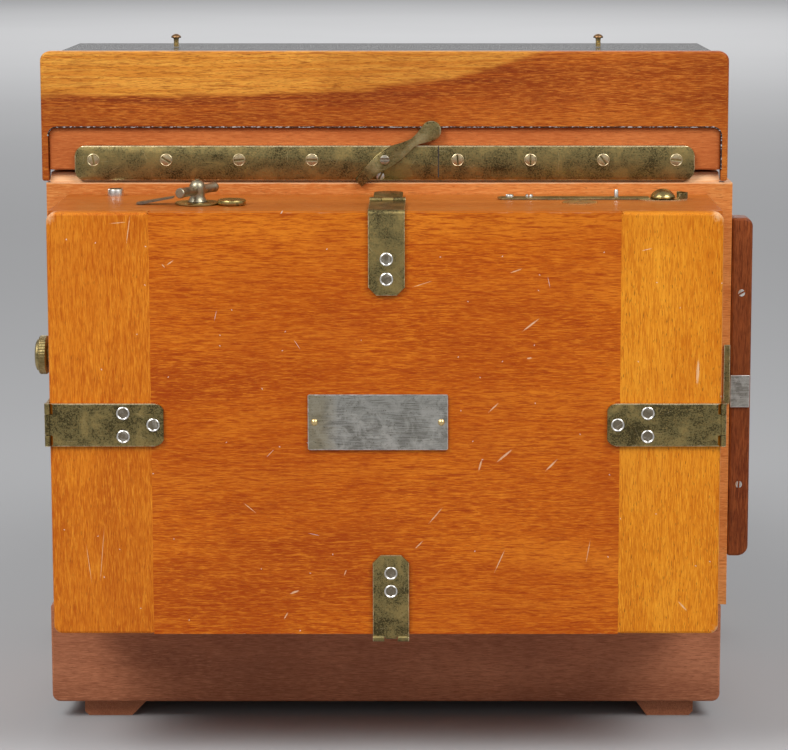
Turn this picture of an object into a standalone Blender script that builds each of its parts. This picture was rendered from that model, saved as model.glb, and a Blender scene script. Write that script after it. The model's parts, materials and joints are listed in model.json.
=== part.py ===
"""Whole-plate wooden view camera with a roll holder on its back.

Seen from behind, +X is right, +Y runs from the holder towards the lens and +Z is up. Sizes below are in
millimetres and the helpers turn them into metres. Every depth is measured from the camera's rear plane,
negative towards the viewer of the back, and REAR_Y shifts it so that the origin is on the table under
the middle of the whole object.
"""

import math

import bmesh
import bpy
from mathutils import Matrix, Vector

MM = 0.001
REAR_Y = -125.0
GAP = 0.3  # clearance between pieces that touch

# Camera back and box
BACK_HALF = 162.0
BACK_TOP = 323.4
BACK_BOARD = 8.0
BACK_CORNER = 4.5
BOTTOM_BOARD_TOP = 56.7
FOOT_HEIGHT = 8.2
BODY_BOTTOM = 8.5
BOX_HALF = 159.0
BOX_TOP = 321.3
BOX_WALL = 9.0
BOX_DEPTH = 122.0
BASE_TOP = 26.0
BASE_FRONT = 285.0
FOOT_CLEATS = ((-147.0, -124.0, -116.0), (149.5, 127.0, 121.0))  # outer, inner, top of the inner flank
CLEAT_DEPTHS = (6.0, 280.0)
SIGHT_PIN_X = 105.0
SIGHT_PIN_DEPTH = 80.0

# Strip and latch over the holder
STRIP_HALF = 158.6
STRIP_Z = (267.5, 287.6)
BRASS_HALF = 146.3
BRASS_Z = (262.7, 279.1)
BRASS_THICK = 1.5
SCREW_PITCH = 34.4
LATCH_Z = 272.6
LATCH_TIP = (-12.2, 261.0)
LATCH_PADDLE = (21.8, 286.4)

# Roll holder: its frame, case and door
HOLDER_X = 1.4
FRAME_X = (-160.0, 164.4)
FRAME_Z = (57.0, 261.5)
FRAME_DEEP = 22.0
LEDGE_TOP = 266.0
GATE_HALF = 105.0
PLATE_CENTRE_Z = 159.5
GATE_HALF_HEIGHT = 80.5
CASE_HALF = 151.0
CASE_Z = (63.5, 256.0)
CASE_WALL = 7.0
CASE_DEEP = 80.0
DOOR_THICK = 8.0
CLAMP_WIDTH = 45.5
CASE_CORNER = 4.0
HASP_WIDTH = 19.6
HASP_LENGTH = 52.5
HASP_THICK = 1.2
HASP_Z = 160.3
TOP_HASP_X = 2.0
TOP_HASP_WIDTH = 16.4
TOP_HASP_LOW = 219.0
BOTTOM_HASP_TOP = 100.4
KNUCKLE = 1.3
KNUCKLE_OUT = 0.85  # how far the knuckle's axis lies outside the case's corner
TONGUE_HINGE = (-44.0, 257.8)
TONGUE_END = -4.0
NAMEPLATE = (-33.5, 29.5, 148.8, 174.1)

# Film path
TAKE_UP = (-84.9, -44.3)
SUPPLY = (90.3, -37.3)
REGISTER = (129.5, -24.0)
GUIDE = (-126.7, -24.0)
SPOOL_FLANGE = 19.0
FILM_ROLL = 14.0
ROLLER = 12.0
SHAFT = 2.5
BORE = 2.9
KEY_BAR_Z = 262.5
KEY_BAR_LENGTH = 33.0
KEY_BAR_ANGLE = 65.5

# Dark slide
SLIDE_DEPTHS = (7.5, 9.5)
SLIDE_Z = (69.2, 249.8)
HANDLE_X = (164.7, 174.7)
HANDLE_Z = (80.4, 244.5)
HANDLE_DEPTHS = (2.0, 16.6)
HANDLE_PLATE_Z = (153.5, 169.0)
LOCK_KNOB = (11.0, 177.4)

# Front
BELLOWS = (32.3, 247.7)
BELLOWS_REAR = (122.0, 95.0)
BELLOWS_FRONT = (84.0, 72.0)
PLEATS = 18
PLEAT_DEPTH = 6.0
BELLOWS_WALL = 1.8
STANDARD = (248.0, 262.0)
STANDARD_HALF = 105.0
STANDARD_TOP = 262.0
PANEL = (262.3, 270.3)
PANEL_HALF = 72.0
PANEL_Z = (85.0, 245.0)
CARRIAGE = (185.0, 283.0)
CARRIAGE_Z = (30.3, 38.0)
RAIL_X = (128.0, 140.0)
PINION_DEPTH = 194.0
PINION_TEETH = 12
TOOTH_MODULE = 1.0
PITCH_RADIUS = PINION_TEETH * TOOTH_MODULE / 2
RACK_PITCH_Z = 27.5
PINION_Z = RACK_PITCH_Z - PITCH_RADIUS
KNOB_X = (160.0, 174.7)
BARREL = 27.0
BARREL_BORE = 19.5
BARREL_FRONT = 326.0
STOP_DEPTH = 292.0
CAP_FRONT = 332.2


def clear_scene():
    for obj in list(bpy.data.objects):
        bpy.data.objects.remove(obj, do_unlink=True)


def material(name, colour, metallic, roughness):
    made = bpy.data.materials.new(name)
    made.use_nodes = True
    shader = made.node_tree.nodes["Principled BSDF"]
    shader.inputs["Base Color"].default_value = (*colour, 1)
    shader.inputs["Metallic"].default_value = metallic
    shader.inputs["Roughness"].default_value = roughness
    return made


def make_materials():
    return {
        "cherry": material("cherry", (0.55, 0.20, 0.06), 0, 0.35),
        "amber": material("amber_cherry", (0.62, 0.28, 0.08), 0, 0.35),
        "walnut": material("red_walnut", (0.30, 0.10, 0.05), 0, 0.35),
        "mahogany": material("dark_mahogany", (0.12, 0.035, 0.02), 0, 0.3),
        "black": material("black_lacquer", (0.02, 0.02, 0.02), 0, 0.3),
        "brass": material("aged_brass", (0.42, 0.36, 0.16), 1, 0.35),
        "bright": material("lacquered_brass", (0.70, 0.52, 0.22), 1, 0.25),
        "nickel": material("nickel_silver", (0.55, 0.54, 0.50), 1, 0.3),
        "steel": material("steel", (0.4, 0.4, 0.4), 1, 0.35),
        "paper": material("film_paper", (0.75, 0.70, 0.58), 0, 0.7),
        "board": material("black_board", (0.015, 0.013, 0.012), 0, 0.5),
        "leather": material("bellows_leather", (0.05, 0.012, 0.012), 0, 0.6),
        "glass": material("lens_glass", (0.75, 0.80, 0.82), 0, 0.05),
    }


def at(x, depth, z):
    """A point in metres from millimetres, with the depth measured from the camera's rear plane."""
    return Vector((x, depth + REAR_Y, z)) * MM


def new_object(name, mesh, finish):
    obj = bpy.data.objects.new(name, mesh)
    bpy.context.scene.collection.objects.link(obj)
    if finish:
        obj.data.materials.append(finish)
    return obj


def from_bmesh(name, bm, finish, smooth=False):
    bmesh.ops.recalc_face_normals(bm, faces=bm.faces)
    mesh = bpy.data.meshes.new(name)
    bm.to_mesh(mesh)
    bm.free()
    if smooth:
        mesh.shade_smooth()
        mesh.set_sharp_from_angle(angle=math.radians(35))
    return new_object(name, mesh, finish)


def prism(name, outline, low, high, along, finish=None):
    """An outline pushed along x, y or z. It is given as (depth, z), (x, z) or (x, depth) points."""
    place = {
        "x": lambda a, b, h: at(h, a, b),
        "y": lambda a, b, h: at(a, h, b),
        "z": lambda a, b, h: at(a, b, h),
    }[along]
    bm = bmesh.new()
    face = bm.faces.new([bm.verts.new(place(a, b, low)) for a, b in outline])
    pushed = bmesh.ops.extrude_face_region(bm, geom=[face])
    corners = [item for item in pushed["geom"] if isinstance(item, bmesh.types.BMVert)]
    move = place(0, 0, high) - place(0, 0, low)
    bmesh.ops.translate(bm, vec=move, verts=corners)
    return from_bmesh(name, bm, finish)


def box(name, x, depth, z, finish=None):
    outline = ((x[0], z[0]), (x[1], z[0]), (x[1], z[1]), (x[0], z[1]))
    return prism(name, outline, depth[0], depth[1], "y", finish)


def arc(centre, radius, start, end, steps=6):
    """Points on an arc, in degrees from the outline's first direction towards its second."""
    angles = [math.radians(start + (end - start) * n / steps) for n in range(steps + 1)]
    return [(centre[0] + radius * math.cos(a), centre[1] + radius * math.sin(a)) for a in angles]


def rounded(low, high, radii):
    """A rectangle with its own radius at each corner: low-low, high-low, high-high, low-high."""
    corners = (
        (low[0], low[1], 1, 1, 180),
        (high[0], low[1], -1, 1, 270),
        (high[0], high[1], -1, -1, 0),
        (low[0], high[1], 1, -1, 90),
    )
    points = []
    for (a, b, toward_a, toward_b, start), radius in zip(corners, radii):
        if radius:
            centre = (a + toward_a * radius, b + toward_b * radius)
            points += arc(centre, radius, start, start + 90)
        else:
            points.append((a, b))
    return points


def turned(name, profile, centre, axis, finish=None, steps=32):
    """A solid of revolution. The profile holds (radius, height) points, and the heights run along the axis
    in that axis's own coordinate; centre holds the two other coordinates."""
    place = {
        "x": lambda r, t, h: at(h, centre[0] + r * math.cos(t), centre[1] + r * math.sin(t)),
        "y": lambda r, t, h: at(centre[0] + r * math.cos(t), h, centre[1] + r * math.sin(t)),
        "z": lambda r, t, h: at(centre[0] + r * math.cos(t), centre[1] + r * math.sin(t), h),
    }[axis]
    bm = bmesh.new()
    turns = [2 * math.pi * n / steps for n in range(steps)]
    rings = []
    for radius, height in profile:
        count = steps if radius else 1
        rings.append([bm.verts.new(place(radius, t, height)) for t in turns[:count]])
    if profile[0][0] and profile[-1][0]:
        rings.append(rings[0])
    for ring, after in zip(rings, rings[1:]):
        for n in range(steps):
            corners = [ring[n % len(ring)], ring[(n + 1) % len(ring)]]
            corners += [after[(n + 1) % len(after)], after[n % len(after)]]
            bm.faces.new(list(dict.fromkeys(corners)))
    return from_bmesh(name, bm, finish, smooth=True)


def rod(name, radius, low, high, centre, axis, finish=None, steps=24):
    profile = ((0, low), (radius, low), (radius, high), (0, high))
    return turned(name, profile, centre, axis, finish, steps)


def boolean(obj, other, operation):
    other.hide_render = True
    other.display_type = "WIRE"
    step = obj.modifiers.new(other.name, "BOOLEAN")
    step.operation = operation
    step.object = other
    return obj


def cut(obj, other):
    return boolean(obj, other, "DIFFERENCE")


def join(obj, other):
    return boolean(obj, other, "UNION")


def soften(obj, width, segments=2):
    step = obj.modifiers.new("soft_edges", "BEVEL")
    step.width = width * MM
    step.segments = segments
    step.limit_method = "ANGLE"
    step.angle_limit = math.radians(50)
    return obj


def move_origin(objects, point):
    """Puts the origin of each moving piece on its joint's axis."""
    for obj in objects:
        obj.data.transform(Matrix.Translation(-point))
        obj.location = point


def camera_back(m):
    top = rounded((-BACK_HALF, 262.3), (BACK_HALF, BACK_TOP), (0, 0, BACK_CORNER, BACK_CORNER))
    board = prism("back_top_board", top, 0, BACK_BOARD, "y", m["amber"])
    soften(board, 1.0)
    inner = STRIP_HALF + GAP
    cut(board, box("ledge_clearance", (-inner, inner), (-1, BACK_BOARD + 1), (260, STRIP_Z[0] - GAP)))
    cut(board, box("strip_recess", (-inner, inner), (-1, 6.5), (266, STRIP_Z[1] + GAP)))
    low = rounded((-BACK_HALF, BODY_BOTTOM), (BACK_HALF, BOTTOM_BOARD_TOP), (3.8, 3.8, 0, 0))
    soften(prism("back_bottom_board", low, 0, BACK_BOARD, "y", m["walnut"]), 1.0)
    strip = rounded((-STRIP_HALF, STRIP_Z[0]), (STRIP_HALF, STRIP_Z[1]), (0, 0, 3, 3))
    soften(prism("inset_strip", strip, 1.5, 6.2, "y", m["cherry"]), 0.8)


def camera_box(m):
    notch = (22.3, 56.4, 267.2)
    front, back = BOX_DEPTH, BACK_BOARD + GAP
    top = BOX_TOP - BOX_WALL - GAP
    side = [(back, BODY_BOTTOM), (front, BODY_BOTTOM), (front, top), (back, top)]
    side += [(back, notch[2]), (notch[0], notch[2]), (notch[0], notch[1]), (back, notch[1])]
    inner = BOX_HALF - BOX_WALL
    for name, low in (("left", -BOX_HALF), ("right", inner)):
        prism(f"box_{name}_wall", side, low, low + BOX_WALL, "x", m["cherry"])
    lid = box("box_top", (-BOX_HALF, BOX_HALF), (back, front), (top + GAP, BOX_TOP), m["black"])
    soften(lid, 1.0)
    base_z = (BODY_BOTTOM, BASE_TOP)
    base = box("base_board", (-inner + GAP, inner - GAP), (back, BASE_FRONT), base_z, m["walnut"])
    groove = (PINION_DEPTH - 8, PINION_DEPTH + 8)
    cut(base, box("pinion_groove", (-inner - 5, inner + 5), groove, (12.5, BASE_TOP + 5)))
    frame = box("plate_frame", (-inner + GAP, inner - GAP), (22.6, 32), (BASE_TOP + GAP, top), m["cherry"])
    height = (PLATE_CENTRE_Z - 82.5, PLATE_CENTRE_Z + 82.5)
    cut(frame, box("plate_opening", (-110, 110), (20, 35), height))
    for name, sign in (("left", -1), ("right", 1)):
        rail = sorted((sign * RAIL_X[0], sign * RAIL_X[1]))
        soften(box(f"bed_rail_{name}", rail, (34, 283), (BASE_TOP + GAP, CARRIAGE_Z[1]), m["cherry"]), 0.8)
        sight_pin(f"sight_pin_{name}", sign * SIGHT_PIN_X, m)
    for name, (outer, inner_foot, flank) in zip(("left", "right"), FOOT_CLEATS):
        outline = ((outer, FOOT_HEIGHT), (outer, 2), (outer - 2 * math.copysign(1, outer), 0))
        outline += ((inner_foot, 0), (flank, FOOT_HEIGHT))
        prism(f"foot_cleat_{name}", outline, *CLEAT_DEPTHS, "y", m["walnut"])
    plate = ((0, 4.7), (28, 4.7), (28, FOOT_HEIGHT), (0, FOOT_HEIGHT))
    tripod = turned("tripod_plate", plate, (0, -REAR_Y), "z", m["brass"])
    cut(tripod, rod("tripod_thread", 4.75, 3, 10, (0, -REAR_Y), "z"))


def sight_pin(name, x, m):
    low = BOX_TOP + GAP
    profile = ((0, low), (3.0, low), (3.0, low + 0.6), (1.1, low + 0.9), (1.1, low + 4.0), (2.1, low + 4.6))
    profile += ((2.1, low + 6.0), (1.2, low + 6.8), (0, low + 7.0))
    turned(name, profile, (x, SIGHT_PIN_DEPTH), "z", m["bright"], 16)


def strip_and_latch(m):
    outline = rounded((-BRASS_HALF, BRASS_Z[0]), (BRASS_HALF, BRASS_Z[1]), (4, 5, 5, 5))
    face = 1.2 - BRASS_THICK
    strip = prism("brass_strip", outline, face, 1.2, "y", m["brass"])
    screw_z = sum(BRASS_Z) / 2 + 1.4
    for n in (-4, -3, -2, -1, 1, 2, 3, 4):
        join(strip, rod(f"strip_screw{n}", 2.6, -1.0, 0.5, (n * SCREW_PITCH, screw_z), "y", steps=16))
    post = ((0, 0.5), (1.6, 0.5), (1.6, -2.4), (3.2, -2.4), (3.2, -3.1), (2.2, -3.7), (0, -3.8))
    join(strip, turned("latch_pivot", post, (0, LATCH_Z), "y", steps=20))
    lever = rod("latch_lever", 4.2, -2.1, -0.6, (0, LATCH_Z), "y", m["brass"])
    for name, end, widths in (("tip", LATCH_TIP, (5.0, 6.4)), ("arm", LATCH_PADDLE, (5.2, 3.6))):
        join(lever, arm(f"latch_{name}", (0, LATCH_Z), end, widths))
    join(lever, rod("latch_paddle", 4.3, -2.1, -0.6, LATCH_PADDLE, "y"))
    cut(lever, rod("latch_bore", 1.9, -4, 2, (0, LATCH_Z), "y"))
    move_origin([lever], at(0, -1.35, LATCH_Z))


def arm(name, start, end, widths):
    """A flat tapering arm in the latch's plane, from its pivot to one of its ends."""
    run = Vector(end) - Vector(start)
    across = Vector((-run.y, run.x)).normalized()
    first, last = across * widths[0] / 2, across * widths[1] / 2
    corners = (Vector(start) + first, Vector(end) + last, Vector(end) - last, Vector(start) - first)
    return prism(name, [tuple(corner) for corner in corners], -2.1, -0.6, "y")


def holder_frame(m):
    frame = box("holder_frame", FRAME_X, (0, FRAME_DEEP), FRAME_Z, m["cherry"])
    foot = FRAME_Z[1] - 20
    ledge = ((1.8, foot), (1.8, FRAME_Z[1] + 0.4), (6, LEDGE_TOP), (21, LEDGE_TOP), (21, foot))
    join(frame, prism("ledge", ledge, -158.3, 158.3, "x"))
    cut(frame, box("gate_rebate", (-118, 118), (-1, 10.2), (67, 252)))
    cut(frame, box("light_opening", (-110, 110), (5, 25), (77, 242)))
    cut(frame, box("slide_slot", (110, 170), (SLIDE_DEPTHS[0] - 0.4, SLIDE_DEPTHS[1] + 0.4), (68.7, 250.3)))
    gate = box("gate_frame", (-117.7, 117.7), (0.6, 6.0), (67.3, 251.7), m["mahogany"])
    join(gate, box("gate_rim", (-113, 113), (-10.6, 3), (73, 246)))
    height = (PLATE_CENTRE_Z - GATE_HALF_HEIGHT, PLATE_CENTRE_Z + GATE_HALF_HEIGHT)
    cut(gate, box("gate_opening", (-GATE_HALF, GATE_HALF), (-15, 10), height))
    box("edge_plate", (161.5, 164.4), (-1.1, -GAP), (155.5, 184), m["brass"])


def dark_slide(m):
    box("dark_slide_board", (-116, 164.4), SLIDE_DEPTHS, SLIDE_Z, m["board"])
    outline = rounded((HANDLE_X[0], HANDLE_Z[0]), (HANDLE_X[1], HANDLE_Z[1]), (0, 5, 4, 0))
    handle = soften(prism("dark_slide_handle", outline, *HANDLE_DEPTHS, "y", m["mahogany"]), 1.2)
    low = HANDLE_DEPTHS[0] - GAP
    plate_x = (HANDLE_X[0] + 0.2, HANDLE_X[1] - 0.6)
    plate = box("handle_plate", plate_x, (low - 0.8, low), HANDLE_PLATE_Z, m["nickel"])
    pieces = [bpy.data.objects["dark_slide_board"], handle, plate]
    move_origin(pieces, at(FRAME_X[1], sum(SLIDE_DEPTHS) / 2, sum(SLIDE_Z) / 2))


def lock_knob(m):
    rim = FRAME_X[0] - GAP
    profile = ((0, rim), (5, rim), (5, rim - 1.5), (9.3, rim - 2.2), (9.3, rim - 5.6))
    profile += ((7.5, rim - 7.2), (0, rim - 8.2))
    knob = turned("lock_knob", profile, LOCK_KNOB, "x", m["brass"])
    move_origin([knob], at(rim, *LOCK_KNOB))


def case(m):
    low, high = HOLDER_X - CASE_HALF, HOLDER_X + CASE_HALF
    deep = (DOOR_THICK - CASE_DEEP + GAP, -GAP)
    top = box("case_top", (low, high), deep, (CASE_Z[1] - CASE_WALL, CASE_Z[1]), m["cherry"])
    bottom = box("case_bottom", (low, high), deep, (CASE_Z[0], CASE_Z[0] + CASE_WALL), m["cherry"])
    sides = (CASE_Z[0] + CASE_WALL + GAP, CASE_Z[1] - CASE_WALL - GAP)
    box("case_left", (low, low + CASE_WALL), deep, sides, m["amber"])
    box("case_right", (high - CASE_WALL, high), deep, sides, m["amber"])
    through = (CASE_Z[1] - CASE_WALL - 1, CASE_Z[1] + 1)
    blind = (through[0], CASE_Z[1] - 2)
    for name, place, span in (
        ("take_up", TAKE_UP, through),
        ("register", REGISTER, through),
        ("supply", SUPPLY, blind),
        ("guide", GUIDE, blind),
    ):
        cut(top, rod(f"{name}_top_bore", BORE, *span, place, "z"))
        cut(bottom, rod(f"{name}_low_bore", BORE, CASE_Z[0] + 2, CASE_Z[0] + CASE_WALL + 1, place, "z"))
    register_plate = box("register_plate", (53.2, 123.2), (-26, -18), (256.3, 257.1), m["brass"])
    for n, (x, radius, height) in enumerate(((58.5, 1.9, 1.2), (67.5, 1.9, 1.2), (108, 1.0, 3.4))):
        stud = rod(f"register_stud{n}", radius, 256.7, 257.1 + height, (x, -22), "z", steps=12)
        join(register_plate, stud)


def door(m):
    low, high = HOLDER_X - CASE_HALF, HOLDER_X + CASE_HALF
    joints = (low + CLAMP_WIDTH, high - CLAMP_WIDTH)
    depths = (-CASE_DEEP, DOOR_THICK - CASE_DEEP)
    panel = box("door_panel", (joints[0] + GAP / 2, joints[1] - GAP / 2), depths, CASE_Z, m["cherry"])
    left = rounded((low, CASE_Z[0]), (joints[0] - GAP / 2, CASE_Z[1]), (CASE_CORNER, 0, 0, CASE_CORNER))
    right = rounded((joints[1] + GAP / 2, CASE_Z[0]), (high, CASE_Z[1]), (0, CASE_CORNER, CASE_CORNER, 0))
    clamp_left = soften(prism("door_clamp_left", left, *depths, "y", m["amber"]), 1.2)
    clamp_right = soften(prism("door_clamp_right", right, *depths, "y", m["amber"]), 1.2)
    face = -CASE_DEEP - GAP
    x0, x1, z0, z1 = NAMEPLATE
    plate = box("nameplate", (x0, x1), (face - 0.9, face), (z0, z1), m["nickel"])
    middle = (z0 + z1) / 2
    for n, x in enumerate((x0 + 3, x1 - 3)):
        pin = rod(f"nameplate_pin{n}", 1.4, face - 1.5, face - 0.3, (x, middle), "y", steps=12)
        join(plate, pin)
    move_origin([panel, clamp_left, clamp_right, plate], at(HOLDER_X, -CASE_DEEP, sum(CASE_Z) / 2))


def hasp_screws(plate, name, places):
    face = -CASE_DEEP - GAP - HASP_THICK
    for n, place in enumerate(places):
        join(plate, rod(f"{name}_screw{n}", 2.7, face - 0.7, face + 0.4, place, "y", steps=16))


def side_hasp(name, side, end, m):
    """A hasp on the door's side edge, side -1 or 1, and the flap that folds along the case's wall."""
    edge = HOLDER_X + side * CASE_HALF
    axis = (edge + side * KNUCKLE_OUT, -CASE_DEEP - KNUCKLE_OUT)
    z0, z1 = HASP_Z - HASP_WIDTH / 2, HASP_Z + HASP_WIDTH / 2
    face = -CASE_DEEP - GAP
    x = sorted((edge, end))
    plate = box(f"hasp_{name}", x, (face - HASP_THICK, face), (z0, z1), m["brass"])
    across = sorted((edge - side * 4, edge + side * 3))
    for n, z in enumerate((z0, z1)):
        tall = sorted((z + (5.3 if n == 0 else -5.3), z + (-2 if n == 0 else 2)))
        cut(plate, box(f"hasp_{name}_notch{n}", across, (-90, -75), tall))
    inner = (z0 + 5.3, z1 - 5.3)
    join(plate, rod(f"hasp_{name}_knuckle", KNUCKLE, *inner, axis, "z", steps=16))
    outer = end + side * 18.5
    hasp_screws(plate, name, ((end + side * 5, HASP_Z), (outer, HASP_Z + 5.3), (outer, HASP_Z - 5.3)))
    wall = sorted((edge + side * 0.4, edge + side * 1.6))
    flap = box(f"flap_{name}", wall, (axis[1] + 1.7, -42), (z0, z1), m["brass"])
    for n, tall in enumerate(((z0, inner[0] - GAP), (inner[1] + GAP, z1))):
        join(flap, rod(f"flap_{name}_knuckle{n}", KNUCKLE, *tall, axis, "z", steps=16))
        join(flap, box(f"flap_{name}_tab{n}", wall, (axis[1], axis[1] + 3), tall))
    move_origin([flap], at(axis[0], axis[1], HASP_Z))


def top_hasp(m):
    x = (TOP_HASP_X - TOP_HASP_WIDTH / 2, TOP_HASP_X + TOP_HASP_WIDTH / 2)
    face, top = -CASE_DEEP - GAP, CASE_Z[1] + GAP
    bend = (face + 2.4 - HASP_THICK, top + HASP_THICK - 2.4)
    hinge_end = TONGUE_HINGE[0] - 1.4 - GAP
    profile = [(face, TOP_HASP_LOW), (face, top - 0.4), (face + 0.4, top), (hinge_end, top)]
    profile += [(hinge_end, top + HASP_THICK)] + arc(bend, 2.4, 90, 180)
    profile += [(face - HASP_THICK, TOP_HASP_LOW)]
    plate = prism("hasp_top", profile, *x, "x", m["brass"])
    third = TOP_HASP_WIDTH / 3
    middle = (x[0] + third, x[1] - third)
    join(plate, rod("hasp_top_knuckle", 1.4, *middle, TONGUE_HINGE, "x", steps=16))
    tab_z = (top + 0.1, top + HASP_THICK - 0.1)
    join(plate, box("hasp_top_tab", middle, (hinge_end - 1, TONGUE_HINGE[0]), tab_z))
    hasp_screws(plate, "top", ((TOP_HASP_X, TOP_HASP_LOW + 16.3), (TOP_HASP_X, TOP_HASP_LOW + 7.3)))
    width = (TOP_HASP_X - 6.8, TOP_HASP_X + 6.8)
    outline = [(width[0], TONGUE_HINGE[0] + 1.7), (width[1], TONGUE_HINGE[0] + 1.7)]
    outline += arc((TOP_HASP_X, TONGUE_END - 6.8), 6.8, 0, 180, 10)
    tongue = prism("flap_top", outline, top + 0.6, top + 0.6 + HASP_THICK, "z", m["brass"])
    for n, span in enumerate(((x[0], x[0] + third - GAP), (x[1] - third + GAP, x[1]))):
        join(tongue, rod(f"flap_top_knuckle{n}", 1.4, *span, TONGUE_HINGE, "x", steps=16))
        reach = (max(span[0], width[0]), min(span[1], width[1]))
        root = (TONGUE_HINGE[0], TONGUE_HINGE[0] + 3)
        join(tongue, box(f"flap_top_tab{n}", reach, root, (top + 0.6, top + 1.8)))
    move_origin([tongue], at(TOP_HASP_X, *TONGUE_HINGE))


def bottom_hasp(m):
    x = (TOP_HASP_X + 1.7 - TOP_HASP_WIDTH / 2, TOP_HASP_X + 1.7 + TOP_HASP_WIDTH / 2)
    middle = sum(x) / 2
    axis = (-CASE_DEEP - KNUCKLE_OUT, CASE_Z[0] - KNUCKLE_OUT - 0.9)
    face = -CASE_DEEP - GAP
    plate = box("hasp_bottom", x, (face - HASP_THICK, face), (axis[1], BOTTOM_HASP_TOP), m["brass"])
    notch = TOP_HASP_WIDTH / 3
    inner = (x[0] + notch, x[1] - notch)
    for n, span in enumerate(((x[0] - 1, inner[0]), (inner[1], x[1] + 1))):
        cut(plate, box(f"hasp_bottom_notch{n}", span, (-90, -75), (50, 66.2)))
    join(plate, rod("hasp_bottom_knuckle", 1.5, *inner, axis, "x", steps=16))
    hasp_screws(plate, "bottom", ((middle, BOTTOM_HASP_TOP - 8.3), (middle, BOTTOM_HASP_TOP - 16.7)))
    under = (CASE_Z[0] - 1.6, CASE_Z[0] - 0.4)
    flap = box("flap_bottom", x, (axis[0] + 2.1, -42), under, m["brass"])
    for n, span in enumerate(((x[0], inner[0] - GAP), (inner[1] + GAP, x[1]))):
        join(flap, rod(f"flap_bottom_knuckle{n}", 1.5, *span, axis, "x", steps=16))
        join(flap, box(f"flap_bottom_tab{n}", span, (axis[0], axis[0] + 3), under))
    move_origin([flap], at(middle, *axis))


def spool(name, place, top, m):
    low, high = CASE_Z[0] + CASE_WALL + 4, CASE_Z[1] - CASE_WALL - 4
    profile = ((0, CASE_Z[0] + 2.5), (SHAFT, CASE_Z[0] + 2.5), (SHAFT, low), (SPOOL_FLANGE, low))
    profile += ((SPOOL_FLANGE, low + 2), (FILM_ROLL, low + 2))
    profile += ((FILM_ROLL, high - 2), (SPOOL_FLANGE, high - 2))
    profile += ((SPOOL_FLANGE, high), (SHAFT, high), (SHAFT, top), (0, top))
    made = turned(name, profile, place, "z", m["paper"])
    move_origin([made], at(*place, low))
    return made


def roller(name, place, top, m):
    low, high = CASE_Z[0] + CASE_WALL + 3, CASE_Z[1] - CASE_WALL - 3
    profile = ((0, CASE_Z[0] + 2.5), (SHAFT, CASE_Z[0] + 2.5), (SHAFT, low), (ROLLER, low))
    profile += ((ROLLER, high), (SHAFT, high), (SHAFT, top), (0, top))
    made = turned(name, profile, place, "z", m["cherry"])
    move_origin([made], at(*place, low))
    return made


def film_path(m):
    blind_top = CASE_Z[1] - 2.5
    key_foot = CASE_Z[1] + 1.1
    spool("take_up_spool", TAKE_UP, key_foot, m)
    spool("supply_spool", SUPPLY, blind_top, m)
    roller("register_roller", REGISTER, CASE_Z[1] + 0.2, m)
    roller("guide_roller", GUIDE, blind_top, m)
    low = CASE_Z[1] + 0.5
    dome = [(0, low), (5.0, low)] + arc((0, low - 1.8), 6.4, 26, 80, 5) + [(0, low + 4.6)]
    dial = turned("register_dial", dome, REGISTER, "z", m["bright"])
    move_origin([dial], at(*REGISTER, low))
    winding_key(m)
    web(m)


def winding_key(m):
    low = CASE_Z[1] + GAP
    disc = ((3.2, low), (10.3, low), (10.3, low + 0.8), (3.2, low + 0.8))
    turned("key_base_plate", disc, TAKE_UP, "z", m["bright"])
    foot = CASE_Z[1] + 1.4
    post = [(0, foot), (4.4, foot), (4.1, foot + 3), (4.1, foot + 6.4)]
    post += arc((0, foot + 6.2), 4.0, 20, 80, 3) + [(0, foot + 10.3)]
    key = turned("winding_key", post, TAKE_UP, "z", m["nickel"])
    half = KEY_BAR_LENGTH / 2
    profile = ((0, -half), (1.4, -half), (2.2, -half + 0.9), (2.2, half - 0.9), (1.4, half), (0, half))
    bar = turned("key_bar", [(r, h - REAR_Y) for r, h in profile], (0, 0), "y", steps=16)
    turn = Matrix.Rotation(math.radians(KEY_BAR_ANGLE - 90), 4, "Z")
    bar.data.transform(Matrix.Translation(at(*TAKE_UP, KEY_BAR_Z)) @ turn)
    join(key, bar)
    move_origin([key], at(*TAKE_UP, foot))
    leaf = ((-112.6, 256.3), (-110, 256.3), (-95.6, 259.1), (-95.6, 259.7), (-112.6, 256.9))
    prism("pawl_spring", leaf, -47.6, -41.6, "y", m["steel"])


def web(m):
    """Film over both rollers and across the gate, ending just short of the two rolls."""
    inner, thick = ROLLER + GAP, 0.4
    left, right = GUIDE, REGISTER
    outer_path = arc(right, inner + thick, -75, 90, 12) + arc(left, inner + thick, 90, 255, 12)
    inner_path = arc(right, inner, -75, 90, 12) + arc(left, inner, 90, 255, 12)
    outline = outer_path + inner_path[::-1]
    prism("film_web", outline, CASE_Z[0] + 13.5, CASE_Z[1] - 13.5, "z", m["paper"])


def bellows(m):
    rear, front = BELLOWS
    count = 2 * PLEATS
    bm = bmesh.new()
    rings = []
    for n in range(count + 1):
        share = n / count
        depth = rear + (front - rear) * share
        fold = 0 if n % 2 else -PLEAT_DEPTH
        half = [a + (b - a) * share + fold for a, b in zip(BELLOWS_REAR, BELLOWS_FRONT)]
        rings.append([bellows_ring(bm, half, depth, inset) for inset in (0, BELLOWS_WALL)])
    for (outer, inner), (outer_next, inner_next) in zip(rings, rings[1:]):
        bridge(bm, outer, outer_next)
        bridge(bm, inner, inner_next)
    for outer, inner in (rings[0], rings[-1]):
        bridge(bm, outer, inner)
    made = from_bmesh("bellows", bm, m["leather"])
    move_origin([made], at(0, rear, PLATE_CENTRE_Z))


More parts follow.
